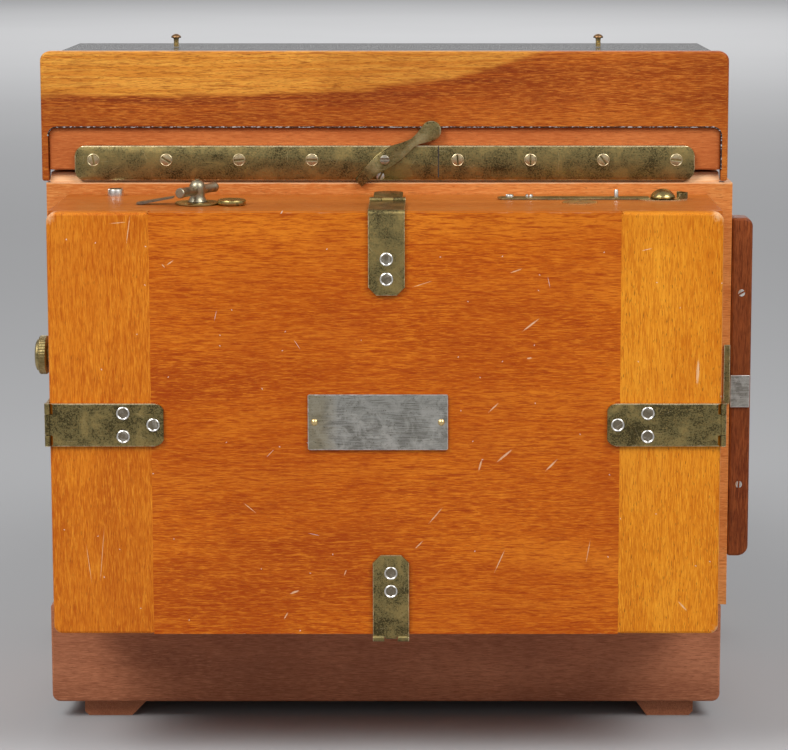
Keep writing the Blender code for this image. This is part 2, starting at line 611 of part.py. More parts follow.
def bellows_ring(bm, half, depth, inset):
    """Eight points round a rectangle with cut corners."""
    a, b, corner = half[0] - inset, half[1] - inset, 9
    points = ((a, b - corner), (a - corner, b), (corner - a, b), (-a, b - corner))
    points += ((-a, corner - b), (corner - a, -b), (a - corner, -b), (a, corner - b))
    return [bm.verts.new(at(x, depth, PLATE_CENTRE_Z + z)) for x, z in points]


def bridge(bm, ring, after):
    for n in range(len(ring)):
        following = (n + 1) % len(ring)
        bm.faces.new((ring[n], ring[following], after[following], after[n]))


def carriage(m):
    board = box("carriage", (-RAIL_X[0] + GAP, RAIL_X[0] - GAP), CARRIAGE, CARRIAGE_Z, m["cherry"])
    join(board, prism("rack", rack_outline(), -6, 6, "x"))
    opening = (118, 205)
    standard_z = (CARRIAGE_Z[1] + GAP, STANDARD_TOP)
    frame = box("front_frame", (-STANDARD_HALF, STANDARD_HALF), STANDARD, standard_z, m["cherry"])
    cut(frame, box("front_opening", (-60, 60), (STANDARD[0] - 5, STANDARD[1] + 5), opening))
    depths = (STANDARD[1] - 4, PANEL[1] + 2)
    for name, sign in (("left", -1), ("right", 1)):
        guide = sorted((sign * (PANEL_HALF + 0.5), sign * (PANEL_HALF + 9)))
        join(frame, box(f"panel_guide_{name}", guide, depths, (60, STANDARD_TOP - 2)))
    move_origin([board, frame], at(0, STANDARD[0], CARRIAGE_Z[0]))


def rack_outline():
    """The rack's side view: trapezoid teeth pointing down, a gap centred over the pinion at rest."""
    pitch = math.pi * TOOTH_MODULE
    root, tip = RACK_PITCH_Z + 1.3, RACK_PITCH_Z - 0.8
    first = PINION_DEPTH + pitch / 2 - 2 * pitch
    last = CARRIAGE[1] - 3
    points = [(first - 1.2, CARRIAGE_Z[0] + 2), (first - 1.2, root)]
    centre = first
    while centre < last:
        points += [(centre - 0.9, root), (centre - 0.3, tip), (centre + 0.3, tip), (centre + 0.9, root)]
        centre += pitch
    return points + [(last + 1, root), (last + 1, CARRIAGE_Z[0] + 2)]


def pinion(m):
    centre = (PINION_DEPTH, PINION_Z)
    knob_low, knob_high = KNOB_X
    profile = [(0, -knob_high)]
    side = ((8.0, knob_high), (9.5, knob_high - 1.4), (9.5, knob_low + 1), (4.5, knob_low))
    side += ((3, knob_low - 6),)
    profile += [(r, -h) for r, h in side] + [(r, h) for r, h in side[::-1]] + [(0, knob_high)]
    shaft = turned("focus_pinion", profile, centre, "x", m["brass"])
    join(shaft, prism("pinion_teeth", pinion_outline(centre), -5, 5, "x"))
    move_origin([shaft], at(0, *centre))


def pinion_outline(centre):
    """Twelve trapezoid teeth, one of them straight up at rest."""
    points = []
    for n in range(PINION_TEETH):
        middle = 90 + 360 * n / PINION_TEETH
        for offset, radius in ((-9, PITCH_RADIUS - 1.3), (-3, PITCH_RADIUS + 0.8), (3, PITCH_RADIUS + 0.8)):
            points += arc(centre, radius, middle + offset, middle + offset, 1)[:1]
        points += arc(centre, PITCH_RADIUS - 1.3, middle + 9, middle + 9, 1)[:1]
    return points


def lens(m):
    board = box("lens_board", (-PANEL_HALF, PANEL_HALF), PANEL, PANEL_Z, m["mahogany"])
    soften(board, 0.8)
    axis = (0, PLATE_CENTRE_Z)
    cut(board, rod("lens_hole", 25.0, PANEL[0] - 5, PANEL[1] + 5, axis, "y", steps=32))
    flange = PANEL[1] + GAP
    profile = ((BARREL_BORE, PANEL[0]), (24.6, PANEL[0]), (24.6, flange), (37, flange), (37, flange + 2.5))
    profile += ((BARREL, flange + 4), (BARREL, 300), (28.5, 302), (28.5, 305), (BARREL, 307))
    profile += ((BARREL, BARREL_FRONT), (BARREL - 1.5, BARREL_FRONT), (BARREL_BORE, 318))
    barrel = turned("lens_barrel", profile, axis, "y", m["bright"])
    slot = (STOP_DEPTH - 1.3, STOP_DEPTH + 1.3)
    cut(barrel, box("stop_slot", (-15, 15), slot, (PLATE_CENTRE_Z + 5, PLATE_CENTRE_Z + 40)))
    glass_pieces = []
    for name, low, high, bulge in (("front_glass", 308, 313, 2.5), ("rear_glass", 266, 270, -2.0)):
        centre = high + bulge if bulge > 0 else low + bulge
        flat, curved = (low, high) if bulge > 0 else (high, low)
        edge = BARREL_BORE - GAP
        shape = ((0, flat), (edge, flat), (edge, curved), (10, curved + bulge * 0.75), (0, centre))
        glass_pieces.append(turned(name, shape, axis, "y", m["glass"]))
    stop_z = (PLATE_CENTRE_Z - 13, PLATE_CENTRE_Z + 36)
    outline = rounded((-13.5, stop_z[0]), (13.5, stop_z[1]), (2, 2, 5, 5))
    stop = prism("waterhouse_stop", outline, STOP_DEPTH - 0.6, STOP_DEPTH + 0.6, "y", m["steel"])
    cut(stop, rod("stop_aperture", 6.0, STOP_DEPTH - 3, STOP_DEPTH + 3, axis, "y", steps=32))
    cap_shape = ((0, CAP_FRONT), (28, CAP_FRONT), (29.5, CAP_FRONT - 1.5), (29.5, 311), (BARREL + 0.4, 311))
    cap_shape += ((BARREL + 0.4, 328.4), (0, 328.4))
    cap = turned("lens_cap", cap_shape, axis, "y", m["leather"])
    move_origin([board, barrel, *glass_pieces, stop, cap], at(0, PANEL[1], PLATE_CENTRE_Z))


def main():
    clear_scene()
    m = make_materials()
    camera_back(m)
    camera_box(m)
    strip_and_latch(m)
    holder_frame(m)
    dark_slide(m)
    lock_knob(m)
    case(m)
    door(m)
    side_hasp("left", -1, HOLDER_X - CASE_HALF + HASP_LENGTH - KNUCKLE_OUT, m)
    side_hasp("right", 1, HOLDER_X + CASE_HALF - HASP_LENGTH + KNUCKLE_OUT, m)
    top_hasp(m)
    bottom_hasp(m)
    film_path(m)
    bellows(m)
    carriage(m)
    pinion(m)
    lens(m)


main()
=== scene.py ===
"""The looks of a whole-plate view camera with a roll holder on its back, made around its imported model.

Places are in millimetres in the model's own frame: +X right, +Y from the holder towards the lens, +Z up.
"""

import json
import math

import bmesh
import bpy
from mathutils import Matrix, Vector


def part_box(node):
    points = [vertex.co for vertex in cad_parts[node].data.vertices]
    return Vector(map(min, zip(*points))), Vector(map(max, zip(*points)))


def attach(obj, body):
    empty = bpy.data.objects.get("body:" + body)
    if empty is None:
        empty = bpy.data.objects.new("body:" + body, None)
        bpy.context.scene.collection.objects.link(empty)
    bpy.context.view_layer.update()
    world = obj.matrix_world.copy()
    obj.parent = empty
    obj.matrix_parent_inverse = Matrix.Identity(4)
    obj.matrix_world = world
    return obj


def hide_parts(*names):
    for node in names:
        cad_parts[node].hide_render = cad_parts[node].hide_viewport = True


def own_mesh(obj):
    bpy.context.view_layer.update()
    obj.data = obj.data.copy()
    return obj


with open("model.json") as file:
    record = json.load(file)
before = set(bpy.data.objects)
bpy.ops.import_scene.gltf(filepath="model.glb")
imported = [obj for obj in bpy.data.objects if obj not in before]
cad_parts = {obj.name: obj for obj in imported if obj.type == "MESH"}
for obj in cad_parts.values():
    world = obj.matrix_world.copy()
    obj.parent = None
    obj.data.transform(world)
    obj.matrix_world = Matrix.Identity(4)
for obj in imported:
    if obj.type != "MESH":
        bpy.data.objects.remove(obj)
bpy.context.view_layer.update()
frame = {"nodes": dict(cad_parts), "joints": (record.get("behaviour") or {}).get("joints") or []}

MM = 0.001

# Camera, in metres and degrees
CAMERA_PLACE = (0.0226, -1.4431, 0.3917)
CAMERA_DOWN = 8.285
CAMERA_TURN = 0.016
LENS = 127.87
SHIFT = (-0.05, -0.08)

# Colours, linear
RAW_WOOD = (0.80, 0.60, 0.38)
GRIME = (0.035, 0.014, 0.006)
CHIP = (0.74, 0.74, 0.72)


def span(node):
    """The lowest and highest corner of a node of the model, in millimetres."""
    low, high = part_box(node)
    return low / MM, high / MM


def middle(node):
    low, high = span(node)
    return (low + high) / 2


def frame_axis(joint):
    """A point on a joint's axis, in millimetres."""
    found = next(entry for entry in frame["joints"] if entry["name"] == joint)
    return Vector(found["pos_m"]) / MM


# ---------------------------------------------------------------- node graphs for the materials


class Look:
    """A material and short calls for the nodes that it is made of."""

    def __init__(self, name, metallic=0.0, coat=0.0, coat_roughness=0.1, specular=0.5):
        self.material = bpy.data.materials.new(name)
        self.material.use_nodes = True
        self.tree = self.material.node_tree
        self.shader = self.tree.nodes["Principled BSDF"]
        self.shader.inputs["Metallic"].default_value = metallic
        self.shader.inputs["Coat Weight"].default_value = coat
        self.shader.inputs["Coat Roughness"].default_value = coat_roughness
        self.shader.inputs["Specular IOR Level"].default_value = specular
        coordinates = self.tree.nodes.new("ShaderNodeTexCoord")
        self.place = self.vector("SCALE", coordinates.outputs["Object"], scale=1 / MM)

    def put(self, socket, value):
        if isinstance(value, bpy.types.NodeSocket):
            self.tree.links.new(value, socket)
        elif hasattr(socket.default_value, "__len__") and len(socket.default_value) == 4:
            socket.default_value = (*value, 1.0)[:4]
        else:
            socket.default_value = value

    def add(self, kind, inputs, **settings):
        node = self.tree.nodes.new("ShaderNode" + kind)
        for key, value in settings.items():
            setattr(node, key, value)
        for key, value in inputs.items():
            self.put(node.inputs[key], value)
        return node

    def vector(self, operation, a, b=(0, 0, 0), scale=None):
        inputs = {0: a, 1: b} if scale is None else {0: a, "Scale": scale}
        return self.add("VectorMath", inputs, operation=operation).outputs[0]

    def maths(self, operation, a, b=0.0, c=0.0):
        return self.add("Math", {0: a, 1: b, 2: c}, operation=operation).outputs[0]

    def noise(self, size, detail=3.0, roughness=0.55, distortion=0.0, shift=0.0):
        """Noise whose features are size millimetres across, one number or one for each axis."""
        sizes = (size, size, size) if isinstance(size, (int, float)) else size
        scaled = self.vector("MULTIPLY", self.place, tuple(1 / part for part in sizes))
        moved = self.vector("ADD", scaled, (shift, shift * 1.7, shift * 0.6))
        inputs = {"Vector": moved, "Scale": 1.0, "Detail": detail, "Roughness": roughness}
        inputs["Distortion"] = distortion
        return self.add("TexNoise", inputs).outputs[0]

    def step(self, value, low, high, out_low=0.0, out_high=1.0):
        inputs = {"Value": value, "From Min": low, "From Max": high, "To Min": out_low, "To Max": out_high}
        return self.add("MapRange", inputs, interpolation_type="SMOOTHSTEP").outputs[0]

    def ramp(self, value, stops):
        node = self.add("ValToRGB", {0: value})
        for n, (position, colour) in enumerate(stops):
            if n < 2:
                stop = node.color_ramp.elements[n]
                stop.position = position
            else:
                stop = node.color_ramp.elements.new(position)
            stop.color = (*colour, 1)
        return node.outputs[0]

    def mix(self, share, a, b, blend="MIX"):
        node = self.add("Mix", {0: share, 6: a, 7: b}, data_type="RGBA", blend_type=blend)
        return node.outputs[2]

    def tint(self, colour, value, edges, shares, other):
        """Mixes a colour towards another, by where a value lies between two edges."""
        return self.mix(self.step(value, *edges, *shares), colour, other)

    def part(self, axis):
        return self.add("SeparateXYZ", {0: self.place}).outputs["XYZ".index(axis)]

    def edge(self, low, high):
        """Millimetres from a point on a box to the nearest of the box's edges."""
        centre, half = (low + high) / 2, (high - low) / 2
        offset = self.vector("ABSOLUTE", self.vector("SUBTRACT", self.place, tuple(centre)))
        inside = self.add("SeparateXYZ", {0: self.vector("SUBTRACT", tuple(half), offset)}).outputs
        smaller = self.maths("MINIMUM", inside[0], inside[1])
        larger = self.maths("MAXIMUM", inside[0], inside[1])
        return self.maths("MAXIMUM", smaller, self.maths("MINIMUM", larger, inside[2]))

    def away(self, places):
        """Millimetres from a point, seen from behind, to the nearest of some places (x, z)."""
        flat = self.vector("MULTIPLY", self.place, (1, 0, 1))
        nearest = 999.0
        for x, z in places:
            offset = self.vector("SUBTRACT", flat, (x, 0, z))
            gap = self.add("VectorMath", {0: offset}, operation="LENGTH").outputs["Value"]
            nearest = self.maths("MINIMUM", nearest, gap)
        return nearest

    def marks(self, places):
        """A mask of given scratches on the door's face: x, z, half length, half width, degrees."""
        nearest = 9.0
        for x, z, half_length, half_width, turn in places:
            inputs = {0: self.place, 1: (x, 0, z), 2: (0, -math.radians(turn), 0)}
            inputs[3] = (half_length, 1e6, half_width)
            local = self.add("Mapping", inputs, vector_type="TEXTURE").outputs[0]
            away = self.add("VectorMath", {0: local}, operation="LENGTH").outputs["Value"]
            nearest = self.maths("MINIMUM", nearest, away)
        return self.step(self.maths("ADD", nearest, self.noise(0.5)), 1.0, 1.5, 1, 0)

    def ticks(self, spacing, half_length, half_width, share, shift=0.0):
        """A mask of sparse small scratches, one at most in each cell, each turned its own way."""
        scaled = self.vector("MULTIPLY", self.place, (1 / spacing, 0.001 / spacing, 1 / spacing))
        moved = self.vector("ADD", scaled, (shift, 0.37, shift * 2.3))
        cell = self.add("TexVoronoi", {"Vector": moved, "Scale": 1.0}, feature="F1")
        local = self.vector("SUBTRACT", moved, cell.outputs["Position"])
        tone = self.add("SeparateColor", {0: cell.outputs["Color"]}).outputs
        turn = {0: local, "Angle": self.maths("MULTIPLY", tone[0], 2 * math.pi)}
        local = self.add("VectorRotate", turn, rotation_type="Y_AXIS").outputs[0]
        size = (spacing / half_length, 0.01, spacing / half_width)
        shape = self.vector("MULTIPLY", local, size)
        away = self.add("VectorMath", {0: shape}, operation="LENGTH").outputs["Value"]
        inside = self.step(self.maths("ADD", away, self.noise(0.6)), 1.1, 1.6, 1, 0)
        chosen = self.maths("LESS_THAN", tone[1], share)
        return self.maths("MULTIPLY", inside, chosen)

    def finish(self, colour, roughness, bumps=(), metallic=None):
        """Connects the colour, the roughness and a chain of (height, millimetres) bumps."""
        self.put(self.shader.inputs["Base Color"], colour)
        self.put(self.shader.inputs["Roughness"], roughness)
        if metallic is not None:
            self.put(self.shader.inputs["Metallic"], metallic)
        normal = None
        for height, depth in bumps:
            inputs = {"Height": height, "Distance": depth * MM, "Strength": 1.0}
            if normal is not None:
                inputs["Normal"] = normal
            normal = self.add("Bump", inputs).outputs[0]
        if normal is not None:
            self.put(self.shader.inputs["Normal"], normal)
        return self.material


GRAIN = {"x": (30, 1, 1), "y": (1, 30, 1), "z": (1, 1, 30)}


def along(grain, size, stretch):
    """Feature sizes drawn out along the grain; a stretch of 1 makes them 30 times as long as wide."""
    return tuple(size * (1 + (part - 1) * stretch) for part in GRAIN[grain])


def wood(name, grain, tones, box, figure=0.5, pores=0.5, wear=1.0, corners=(), marks=(), ticks=0.0,
         seed=0.0, sweep=None, bare_and_lit=None):
    """Varnished wood: broad tones, growth lines, fibres and pores along the grain, pale where worn.

    sweep paints over the broad tones, the last argument adds a pale mask of bare wood and painted highlight,
    corners are places where the varnish is gone, and marks and ticks are scratches.
    """
    dark, mid, light = tones
    look = Look(name, coat=0.03, coat_roughness=0.16, specular=0.12)
    broad = look.noise(along(grain, 30, 0.16), 3, 0.5, 0.5, seed)
    colour = look.ramp(broad, ((0.22, dark), (0.50, mid), (0.82, light)))
    if sweep:
        colour = sweep(look, colour)
    lines = look.noise(along(grain, 0.85, 0.45), 3, 0.6, 0.5, seed + 3)
    colour = look.tint(colour, lines, (0.36, 0.50), (0.85 * figure, 0), dark)
    colour = look.tint(colour, lines, (0.54, 0.70), (0, 0.80 * figure), light)
    wavy = look.noise(along(grain, 1.5, 0.17), 3, 0.6, 1.3, seed + 5)
    colour = look.tint(colour, wavy, (0.54, 0.68), (0, 0.55 * figure), light)
    colour = look.tint(colour, wavy, (0.34, 0.46), (0.55 * figure, 0), dark)
    fibre = look.noise(along(grain, 0.33, 0.49), 2, 0.6, 0.1, seed + 7)
    colour = look.tint(colour, fibre, (0.52, 0.64), (0, 0.60), light)
    colour = look.tint(colour, fibre, (0.36, 0.47), (0.55, 0), dark)
    pore = look.noise(along(grain, 0.42, 0.22), 1, 0.5, 0.0, seed + 11)
    colour = look.tint(colour, pore, (0.64, 0.72), (0, 0.70 * pores), GRIME)
    cloud = look.noise(55, 3, 0.5, 0, seed + 13)
    colour = look.tint(colour, cloud, (0.38, 0.62), (0, 0.22), dark)
    edge = look.maths("MULTIPLY", look.noise(8, 4, 0.75, 0, seed + 17), 1.5)
    edge = look.maths("ADD", edge, look.edge(*box))
    worn = look.step(edge, 0.50, 0.85, 0.80 * wear, 0)
    if corners:
        blotch = look.maths("MULTIPLY", look.noise(7, 4, 0.75, 0, seed + 19), 14)
        away = look.maths("SUBTRACT", look.away(corners), blotch)
        worn = look.maths("MAXIMUM", worn, look.step(away, -4.0, -0.5, 0.85, 0))
    # A pale mask: bare wood, and on the ledge a painted highlight.
    if bare_and_lit:
        worn = look.maths("MAXIMUM", worn, bare_and_lit(look))
    if marks:
        worn = look.maths("MAXIMUM", worn, look.marks(marks))
    raw_tone = look.mix(look.noise(along(grain, 0.8, 0.5), 2), RAW_WOOD, mid)
    colour = look.mix(worn, colour, raw_tone)
    if ticks:
        chips = look.ticks(13, 0.40, 0.20, 0.6 * ticks, shift=seed)
        chips = look.maths("MAXIMUM", chips, look.ticks(58, 2.6, 0.09, 0.7 * ticks, shift=seed + 4))
        colour = look.mix(look.maths("MULTIPLY", chips, 0.75), colour, CHIP)
    roughness = look.step(look.noise(22, 3), 0.3, 0.7, 0.29, 0.42)
    roughness = look.maths("ADD", roughness, look.maths("MULTIPLY", worn, 0.25))
    bumps = ((fibre, 0.035), (look.noise(11, 2), 0.10), (look.maths("SUBTRACT", 1.0, worn), 0.05))
    return look.finish(colour, roughness, bumps)


def aged_brass(name, box, dark=0.5, edges=1.0, seed=0.0, gold=(0.50, 0.36, 0.13), top_highlight=0.0):
    """Old lacquered brass: olive, speckled brown and black, with the metal bright on its edges, partly worn
    and partly a painted highlight.

    The last argument is how strongly the top edge is painted bright, a painted highlight as if lit from
    above.
    """
    olive, speck, black = (0.255, 0.205, 0.085), (0.27, 0.17, 0.06), (0.034, 0.028, 0.014)
    look = Look(name, metallic=1.0)
    patch = look.noise(13, 4, 0.65, 0.5, seed)
    mottle = look.noise(0.9, 4, 0.75, 0.2, seed + 2)
    fine = look.noise(0.35, 2, 0.6, 0.0, seed + 4)
    colour = look.mix(look.step(patch, 0.34, 0.52, 0.50, 0), olive, gold)
    colour = look.tint(colour, mottle, (0.50, 0.64), (0, 0.60), speck)
    shade = look.maths("ADD", look.maths("MULTIPLY", patch, -0.65), 0.83 - 0.20 * (dark - 0.5))
    dirt = look.maths("SUBTRACT", look.noise(0.7, 4, 0.8, 0.3, seed + 6), shade)
    colour = look.tint(colour, dirt, (0, 0.10), (0, 0.80), black)
    rubbed = look.noise((5.0, 5.0, 0.5), 3, 0.6, 0.4, seed + 9)
    colour = look.tint(colour, rubbed, (0.58, 0.70), (0, 0.40), gold)
    colour = look.tint(colour, fine, (0.62, 0.72), (0, 0.40), gold)
    scratches = look.ticks(8, 2.6, 0.05, 0.5, shift=seed)
    colour = look.mix(look.maths("MULTIPLY", scratches, 0.6), colour, (0.80, 0.66, 0.38))
    # Bright edges: partly worn brass, partly a painted highlight.
    ragged = look.maths("MULTIPLY", look.noise(3, 3, 0.6, 0, seed + 8), 0.8)
    edge = look.maths("ADD", look.edge(*box), ragged)
    bright = look.step(edge, 0.42, 0.80, 0.85 * edges, 0)
    # A painted highlight along the top edge, as if lit from above.
    if top_highlight:
        above = look.maths("SUBTRACT", box[1].z, look.part("Z"))
        top_highlight_mask = look.maths("ADD", above, look.maths("MULTIPLY", look.noise(7, 2), 0.9))
        bright = look.maths("MAXIMUM", bright, look.step(top_highlight_mask, 0.85, 1.15, top_highlight, 0))
    colour = look.mix(bright, colour, (0.85, 0.70, 0.42))
    roughness = look.step(mottle, 0.35, 0.65, 0.30, 0.52)
    roughness = look.maths("SUBTRACT", roughness, look.maths("MULTIPLY", bright, 0.1))
    bumps = ((mottle, 0.02), (fine, 0.012), (look.noise(9, 1), 0.12))
    return look.finish(colour, roughness, bumps)


def bright_metal(name, tone, grime, roughness=0.22, seed=0.0, amount=0.5):
    """Polished metal gone a little dull, with grime in patches and fine wear."""
    look = Look(name, metallic=1.0)
    patch = look.noise(4, 4, 0.7, 0.3, seed)
    fine = look.noise(0.5, 3, 0.7, 0, seed + 3)
    colour = look.mix(look.step(patch, 0.48, 0.68, 0, amount), tone, grime)
    colour = look.tint(colour, fine, (0.60, 0.72), (0, amount * 0.8), grime)
    rough = look.step(patch, 0.3, 0.7, roughness, roughness + 0.22)
    return look.finish(colour, rough, ((fine, 0.02), (patch, 0.03)))


def plate_metal(name, box, seed=0.0):
    """The nameplate's grey nickel silver: brushed, scuffed and stained, bare of any lettering, with a painted
    highlight on its edges.
    """
    look = Look(name, metallic=1.0)
    brushed = look.noise((9, 1, 0.16), 2, 0.6, 0, seed)
    stain = look.noise(7, 4, 0.6, 0.8, seed + 3)
    speck = look.noise(0.8, 3, 0.7, 0, seed + 5)
    colour = look.mix(look.step(stain, 0.36, 0.62), (0.50, 0.48, 0.43), (0.22, 0.21, 0.18))
    colour = look.tint(colour, brushed, (0.45, 0.62), (0, 0.6), (0.66, 0.65, 0.61))
    from_left = look.maths("ADD", look.part("X"), look.maths("MULTIPLY", stain, 14))
    colour = look.tint(colour, from_left, (-22, -12), (0.55, 0), (0.34, 0.27, 0.13))
    colour = look.tint(colour, speck, (0.58, 0.70), (0, 0.8), (0.10, 0.085, 0.06))
    # Painted highlight: the plate's edges are painted near white.
    edge = look.maths("ADD", look.edge(*box), look.noise(2.2, 3, 0.6, 0, seed + 7))
    colour = look.tint(colour, edge, (0.5, 1.0), (0.8, 0), (0.85, 0.83, 0.80))
    rough = look.step(stain, 0.3, 0.7, 0.30, 0.46)
    return look.finish(colour, rough, ((brushed, 0.01), (speck, 0.02), (look.noise(16, 1), 0.10)))


def lacquer(name, tone, box, seed=0.0):
    """Black varnish on wood, dusty and rubbed brown along its edges."""
    look = Look(name, specular=0.25)
    lines = look.noise(along("x", 1.4, 0.6), 3, 0.6, 0, seed)
    colour = look.mix(look.step(lines, 0.4, 0.7, 0, 0.5), tone, tuple(2.2 * part for part in tone))
    dust = look.noise(1.2, 3, 0.8, 0, seed + 2)
    colour = look.tint(colour, dust, (0.60, 0.75), (0, 0.35), (0.16, 0.13, 0.11))
    edge = look.maths("ADD", look.edge(*box), look.noise(6, 3, 0.6, 0, seed + 4))
    colour = look.tint(colour, edge, (0.6, 1.1), (0.6, 0), (0.30, 0.13, 0.06))
    rough = look.step(dust, 0.3, 0.7, 0.16, 0.28)
    return look.finish(colour, rough, ((lines, 0.02), (look.noise(14, 2), 0.1)))


def leather(name, tone, pebble_size=0.9):
    """Thin pebbled leather, rubbed lighter on the high spots."""
    look = Look(name, specular=0.35)
    cells = {"Vector": look.vector("SCALE", look.place, scale=1 / pebble_size), "Scale": 1.0}
    pebble = look.add("TexVoronoi", cells).outputs["Distance"]
    wear = look.noise(8, 4, 0.6)
    rubbed = tuple(2.4 * part + 0.01 for part in tone)
    colour = look.mix(look.step(wear, 0.50, 0.72, 0, 0.5), tone, rubbed)
    colour = look.tint(colour, pebble, (0.5, 0.8), (0, 0.6), tuple(0.4 * part for part in tone))
    rough = look.step(wear, 0.3, 0.7, 0.55, 0.40)
    raised = look.maths("MULTIPLY", pebble, -1.0)
    return look.finish(colour, rough, ((raised, 0.12), (look.noise(6, 2), 0.2)))


def card(name, tone, roughness=0.65):
    """Matt board or paper with a faint fibre and a few rubbed places."""
    look = Look(name, specular=0.3)
    fibre = look.noise((1.2, 0.5, 0.5), 4, 0.7)
    rubbed = look.noise(15, 3, 0.6)
    pale = tuple(min(1, 1.5 * part + 0.01) for part in tone)
    colour = look.mix(look.step(fibre, 0.35, 0.7, 0, 0.4), tone, tuple(0.7 * part for part in tone))
    colour = look.tint(colour, rubbed, (0.5, 0.75), (0, 0.3), pale)
    rough = look.step(rubbed, 0.3, 0.7, roughness, roughness - 0.1)
    return look.finish(colour, rough, ((fibre, 0.02),))


def glass(name):
    look = Look(name)
    look.shader.inputs["Transmission Weight"].default_value = 1.0
    look.shader.inputs["IOR"].default_value = 1.52
    haze = look.noise(9, 2)
    colour = look.mix(haze, (0.93, 0.96, 0.95), (0.97, 0.98, 0.95))
    return look.finish(colour, look.step(haze, 0.4, 0.8, 0.01, 0.06))


# ---------------------------------------------------------------- shapes


def arc(centre, radius, start, end, steps=8):
    angles = [math.radians(start + (end - start) * n / steps) for n in range(steps + 1)]
    return [(centre[0] + radius * math.cos(a), centre[1] + radius * math.sin(a)) for a in angles]


def rounded(low, high, radii, steps=6):
    """A rectangle with a radius at each corner: low-low, high-low, high-high, low-high."""
    signs = ((1, 1, 180), (-1, 1, 270), (-1, -1, 0), (1, -1, 90))
    corners = ((low[0], low[1]), (high[0], low[1]), (high[0], high[1]), (low[0], high[1]))
    points = []
    for (a, b), (toward_a, toward_b, start), radius in zip(corners, signs, radii):
        centre = (a + toward_a * radius, b + toward_b * radius)
        points += arc(centre, radius, start, start + 90, steps) if radius else [(a, b)]
    return points


FACING = {
    "-y": Matrix(((1, 0, 0), (0, 0, -1), (0, 1, 0))),
    "+y": Matrix(((-1, 0, 0), (0, 0, 1), (0, 1, 0))),
    "+z": Matrix(((1, 0, 0), (0, 1, 0), (0, 0, 1))),
    "-z": Matrix(((1, 0, 0), (0, -1, 0), (0, 0, -1))),
    "+x": Matrix(((0, 0, 1), (1, 0, 0), (0, 1, 0))),
    "-x": Matrix(((0, 0, -1), (-1, 0, 0), (0, 1, 0))),
}


class Shape:
    """A mesh under construction, in millimetres. Each addition has its height along its facing."""

    def __init__(self):
        self.bm = bmesh.new()

    def place(self, corners, facing, origin, turn=0.0):
        spin = Matrix.Rotation(turn, 4, "Z")
        matrix = Matrix.Translation(Vector(origin)) @ FACING[facing].to_4x4() @ spin
        bmesh.ops.transform(self.bm, matrix=matrix, verts=corners)

    def slab(self, outline, low, high, facing="+z", origin=(0, 0, 0), turn=0.0, bevel=0.0):
        """An outline pushed from low to high, its far rim bevelled."""
        bm = self.bm
        base = [bm.verts.new((a, b, low)) for a, b in outline]
        far = [bm.verts.new((a, b, high)) for a, b in outline]
        bm.faces.new(base[::-1])
        bm.faces.new(far)
        pairs = [(n, (n + 1) % len(outline)) for n in range(len(outline))]
        sides = [bm.faces.new((base[n], base[m], far[m], far[n])) for n, m in pairs]
        made = base + far
        if bevel:
            rim = [bm.edges.get((far[n], far[m])) for n, m in pairs]
            before = set(bm.verts)
            cut = bmesh.ops.bevel(bm, geom=rim, offset=bevel, segments=2, profile=0.5, affect="EDGES")
            fresh = set(cut["verts"]) | (set(bm.verts) - before)
            around = {v for f in sides if f.is_valid for v in f.verts}
            made = [v for v in set(base) | fresh | around if v.is_valid]
        self.place(made, facing, origin, turn)
        return self

    def turned(self, profile, facing="+z", origin=(0, 0, 0), steps=40, ripple=None):
        """A solid of revolution round the facing axis; ripple(n) changes a ring point's radius."""
        bm, rings = self.bm, []
        for radius, height in profile:
            count = steps if radius else 1
            ring = []
            for n in range(count):
                angle = 2 * math.pi * n / steps
                reach = radius * (ripple(n, radius) if ripple and radius else 1.0)
                ring.append(bm.verts.new((reach * math.cos(angle), reach * math.sin(angle), height)))
            rings.append(ring)
        closed = list(zip(rings, rings[1:]))
        if profile[0][0] and profile[-1][0]:
            closed.append((rings[-1], rings[0]))
        for ring, after in closed:
            for n in range(steps):
                corners = [ring[n % len(ring)], ring[(n + 1) % len(ring)]]
                corners += [after[(n + 1) % len(after)], after[n % len(after)]]
                bm.faces.new(list(dict.fromkeys(corners)))
        self.place([v for ring in rings for v in ring], facing, origin)
        return self

    def rod(self, radius, start, end, facing, origin):
        """A plain cylinder between two heights."""
        profile = [(0, start), (radius, start), (radius, end), (0, end)]
        return self.turned(profile, facing, origin, 24)

    def screw(self, origin, facing, radius, height, turn, slot):
        """A slotted head: two rounded halves over a sunken floor; slot is its share of the radius."""
        half_slot = radius * slot
        start = math.degrees(math.asin(slot))
        floor = [(radius, -0.4), (radius, height * 0.15), (0, height * 0.15)]
        self.turned([(0, -0.4)] + floor, facing, origin, 28)
        for side in (0, 180):
            half = arc((0, 0), radius, start + side, 180 - start + side, 12)
            self.slab(half, -0.2, height, facing, origin, turn, bevel=min(height * 0.6, half_slot * 1.5))
        return self

    def box(self, low, high):
        outline = rounded((low[0], low[1]), (high[0], high[1]), (0, 0, 0, 0))
        return self.slab(outline, low[2], high[2])

    def make(self, name, material, body, slot, replaces=(), angle=40, soft=0.0):
        """Turns the shape into a piece that rides on a body and stands for the nodes it replaces."""
        bmesh.ops.recalc_face_normals(self.bm, faces=self.bm.faces)
        bmesh.ops.scale(self.bm, vec=(MM, MM, MM), verts=self.bm.verts)
        mesh = bpy.data.meshes.new(name)
        self.bm.to_mesh(mesh)
        self.bm.free()
        mesh.shade_smooth()
        mesh.set_sharp_from_angle(angle=math.radians(angle))
        piece = bpy.data.objects.new(name, mesh)
        bpy.context.scene.collection.objects.link(piece)
        mesh.materials.append(material)
        if soft:
            soften(piece, soft)
        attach(piece, body)
        if replaces:
            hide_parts(*replaces)
        return piece


